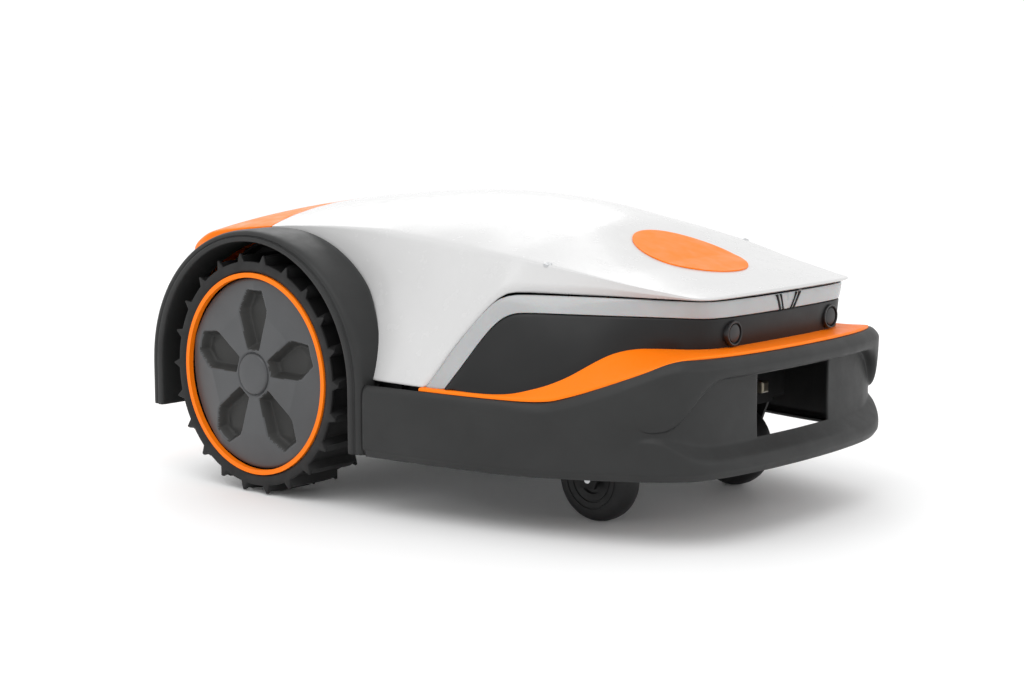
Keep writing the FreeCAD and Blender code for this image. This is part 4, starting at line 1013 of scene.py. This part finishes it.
def lathe(name, centre, section, body, slot, replaced, side, count=96):
    """A ring turned about a left-right axis from (radius, y) points."""
    rows = []
    for step in range(count):
        angle = 2 * math.pi * step / count
        rows.append([(centre[0] + radius * math.sin(angle), y, centre[1] + radius * math.cos(angle))
                     for radius, y in section + section[:1]])
    bm = bmesh.new()
    grid_bmesh(bm, rows, closed=True)
    bmesh.ops.remove_doubles(bm, verts=bm.verts[:], dist=0.01 * MM)
    handed(bm, side)
    piece = new_object(name, to_mesh(bm, name), body, slot, replaced)
    shade_by_angle(piece.data, 34)


def build_caster_wheel(side):
    """A caster wheel: crowned tread, grooved shoulders and a stepped hub face."""
    low, high = cad_box_mm("caster_wheel_left")
    middle, half, radius = (low[1] + high[1]) / 2, (high[1] - low[1]) / 2, (high[2] - low[2]) / 2
    centre = ((low[0] + high[0]) / 2, (low[2] + high[2]) / 2)
    face = [(4.2, 0.72), (9.0, 0.72), (9.6, 0.66), (15.0, 0.66), (16.0, 0.84), (22.5, 0.9), (23.0, 0.84),
            (24.2, 0.84), (24.7, 0.92), (29.5, 0.96), (30.0, 0.9), (31.2, 0.9), (31.7, 0.97), (36.0, 0.97),
            (39.5, 0.9), (42.4, 0.76), (44.2, 0.52), (radius, 0.2)]
    section = [(r, middle + share * half) for r, share in face]
    section += [(r, middle - share * half) for r, share in reversed(face)]
    lathe("caster_tyre_" + side, centre, section, "caster_wheel_" + side, "caster_tread",
          ["caster_wheel_" + side], side)


# ---- small pieces of the cover
def build_sensor(side):
    """An ultrasonic sensor set flush in the fascia: a rim, a groove and a slightly domed face."""
    centre_y, centre_z = (sonar_low[1] + sonar_high[1]) / 2, (sonar_low[2] + sonar_high[2]) / 2
    face_x, radius = sonar_high[0] + 1.2, (sonar_high[2] - sonar_low[2]) / 2
    section = [(0.3, 0.0), (6.0, -0.2), (8.6, -0.7), (9.2, -2.0), (10.0, -2.0), (10.5, 0.1), (11.6, 0.3),
               (radius - 0.3, -0.2), (radius, -1.4), (radius, -12.0)]
    rows = []
    for step in range(72):
        angle = 2 * math.pi * step / 72
        rows.append([(face_x + depth, centre_y + r * math.sin(angle), centre_z + r * math.cos(angle))
                     for r, depth in section])
    bm = bmesh.new()
    verts = grid_bmesh(bm, rows, closed=True)
    bm.faces.new([row[0] for row in verts])
    handed(bm, side)
    piece = new_object("sensor_face_" + side, to_mesh(bm, "sensor_face_" + side), "cover", "sensor_cap",
                       ["sonar_sensor_" + side])
    shade_by_angle(piece.data, 32)


def build_strip_marks():
    """The narrow dark bars that frame the middle of the light strip."""
    bm = bmesh.new()
    for top_y, low_y, width in ((20.5, 11.5, 1.3), (14.0, 6.5, 0.7)):
        rows = []
        for share in (0.0, 1.0):
            y, x, z = low_y + (top_y - low_y) * share, 326.6 + 2.0 * share, STRIP_Z + 0.5 + 16.5 * share
            rows.append([(x - 1.5, y - width, z), (x + 0.7, y - width * 0.7, z),
                         (x + 0.7, y + width * 0.7, z), (x - 1.5, y + width, z)])
        grid_bmesh(bm, rows)
    mirror_all(bm)
    new_object("strip_marks", to_mesh(bm, "strip_marks", False), "cover", "black_plastic")


# Radius and height above the hood, from the stud's middle to its foot.
STUD_SECTION = [(0.1, 1.2), (1.6, 1.1), (1.9, 0.5), (2.8, 0.6), (4.2, 0.3), (4.8, -0.6), (4.8, -3.0)]


def build_studs():
    """The two small rain-sensor studs on the hood's shoulders."""
    bm = bmesh.new()
    low, high = cad_box_mm("rain_studs")
    x, y = (low[0] + high[0]) / 2, high[1] - 5.0
    top = float(crown(x, y))
    rows = []
    for step in range(32):
        angle = 2 * math.pi * step / 32
        rows.append([(x + r * math.cos(angle), y + r * math.sin(angle), top + lift)
                     for r, lift in STUD_SECTION])
    grid_bmesh(bm, rows, closed=True)
    mirror_all(bm)
    new_object("stud_caps", to_mesh(bm, "stud_caps"), "cover", "steel_parts", ["rain_studs"])


def round_cad_edges():
    """Small rounded edges on the CAD pieces that still show."""
    for name, width in (("accent_ring_left", 0.6), ("accent_ring_right", 0.6), ("keypad", 0.5),
                        ("stop_button", 0.8), ("control_panel", 0.6), ("rear_skirt", 0.8),
                        ("caster_fork_left", 0.8), ("caster_fork_right", 0.8), ("chassis_pan", 0.8)):
        soften(nodes[name], width, 40)


# ---- camera, light and floor
LENS_LENGTH = 74.1
CAMERA_PLACE = (1.4947 + DATUM * MM, -1.7623, 0.4829)
LOOK_DOWN, LOOK_ROUND = 8.1, 41.03    # degrees
FLOOR_SHADE, SKY_STRENGTH = 0.93, 1.08


def place_camera():
    """A long lens from the right-hand front, a little above the machine."""
    data = bpy.data.cameras.new("camera")
    data.sensor_width = 36.0
    data.lens = LENS_LENGTH
    camera = bpy.data.objects.new("camera", data)
    bpy.context.scene.collection.objects.link(camera)
    camera.location = CAMERA_PLACE
    camera.rotation_euler = (math.radians(90 - LOOK_DOWN), 0, math.radians(LOOK_ROUND))
    bpy.context.scene.camera = camera
    bpy.context.scene.view_settings.view_transform = "Standard"


def area_light(name, location, target, size, power):
    """A soft rectangular light aimed at a place."""
    data = bpy.data.lights.new(name, "AREA")
    data.shape = "RECTANGLE"
    data.size, data.size_y = size
    data.energy = power
    light = bpy.data.objects.new(name, data)
    bpy.context.scene.collection.objects.link(light)
    light.location = location
    light.rotation_euler = (Vector(target) - Vector(location)).to_track_quat("-Z", "Y").to_euler()


def build_studio():
    """A pale seamless floor under a white sky with three soft lights."""
    bm = bmesh.new()
    bmesh.ops.create_grid(bm, x_segments=2, y_segments=2, size=12.0)
    floor = bpy.data.objects.new("studio_floor", to_mesh(bm, "studio_floor"))
    bpy.context.scene.collection.objects.link(floor)
    shader = Shader("studio_floor", (FLOOR_SHADE, FLOOR_SHADE, FLOOR_SHADE), 0.6)
    shader.bump(shader.noise(3.0), 0.1, 0.05)
    floor.data.materials.append(shader.material)
    world = bpy.data.worlds.new("studio_world")
    world.use_nodes = True
    sky = world.node_tree.nodes["Background"]
    sky.inputs["Color"].default_value = (1, 1, 1, 1)
    sky.inputs["Strength"].default_value = SKY_STRENGTH
    bpy.context.scene.world = world
    area_light("key", (0.2, -1.4, 2.4), (0, 0, 0.15), (2.4, 1.6), 20)
    area_light("rim", (-1.8, 1.6, 1.6), (0, 0, 0.15), (1.6, 1.2), 9)
    area_light("front_fill", (2.4, 0.2, 1.1), (0.1, 0, 0.15), (1.4, 1.0), 5)


def paint_frame():
    """Gives every CAD node the procedural material of its slot."""
    for row in frame["record"]["subparts"]:
        paint(nodes[row["node"]], row["material_slot"])


place_camera()
build_studio()
paint_frame()
build_hood()
build_rear_cover()
for side in SIDES:
    build_fender(side)
build_skirt()
build_accent_band()
build_fascia()
build_light_strip()
build_strip_marks()
build_studs()
round_cad_edges()
for side in SIDES:
    build_sensor(side)
    build_tyre(side)
    build_rim_cover(side)
    build_caster_wheel(side)

bpy.context.view_layer.update()
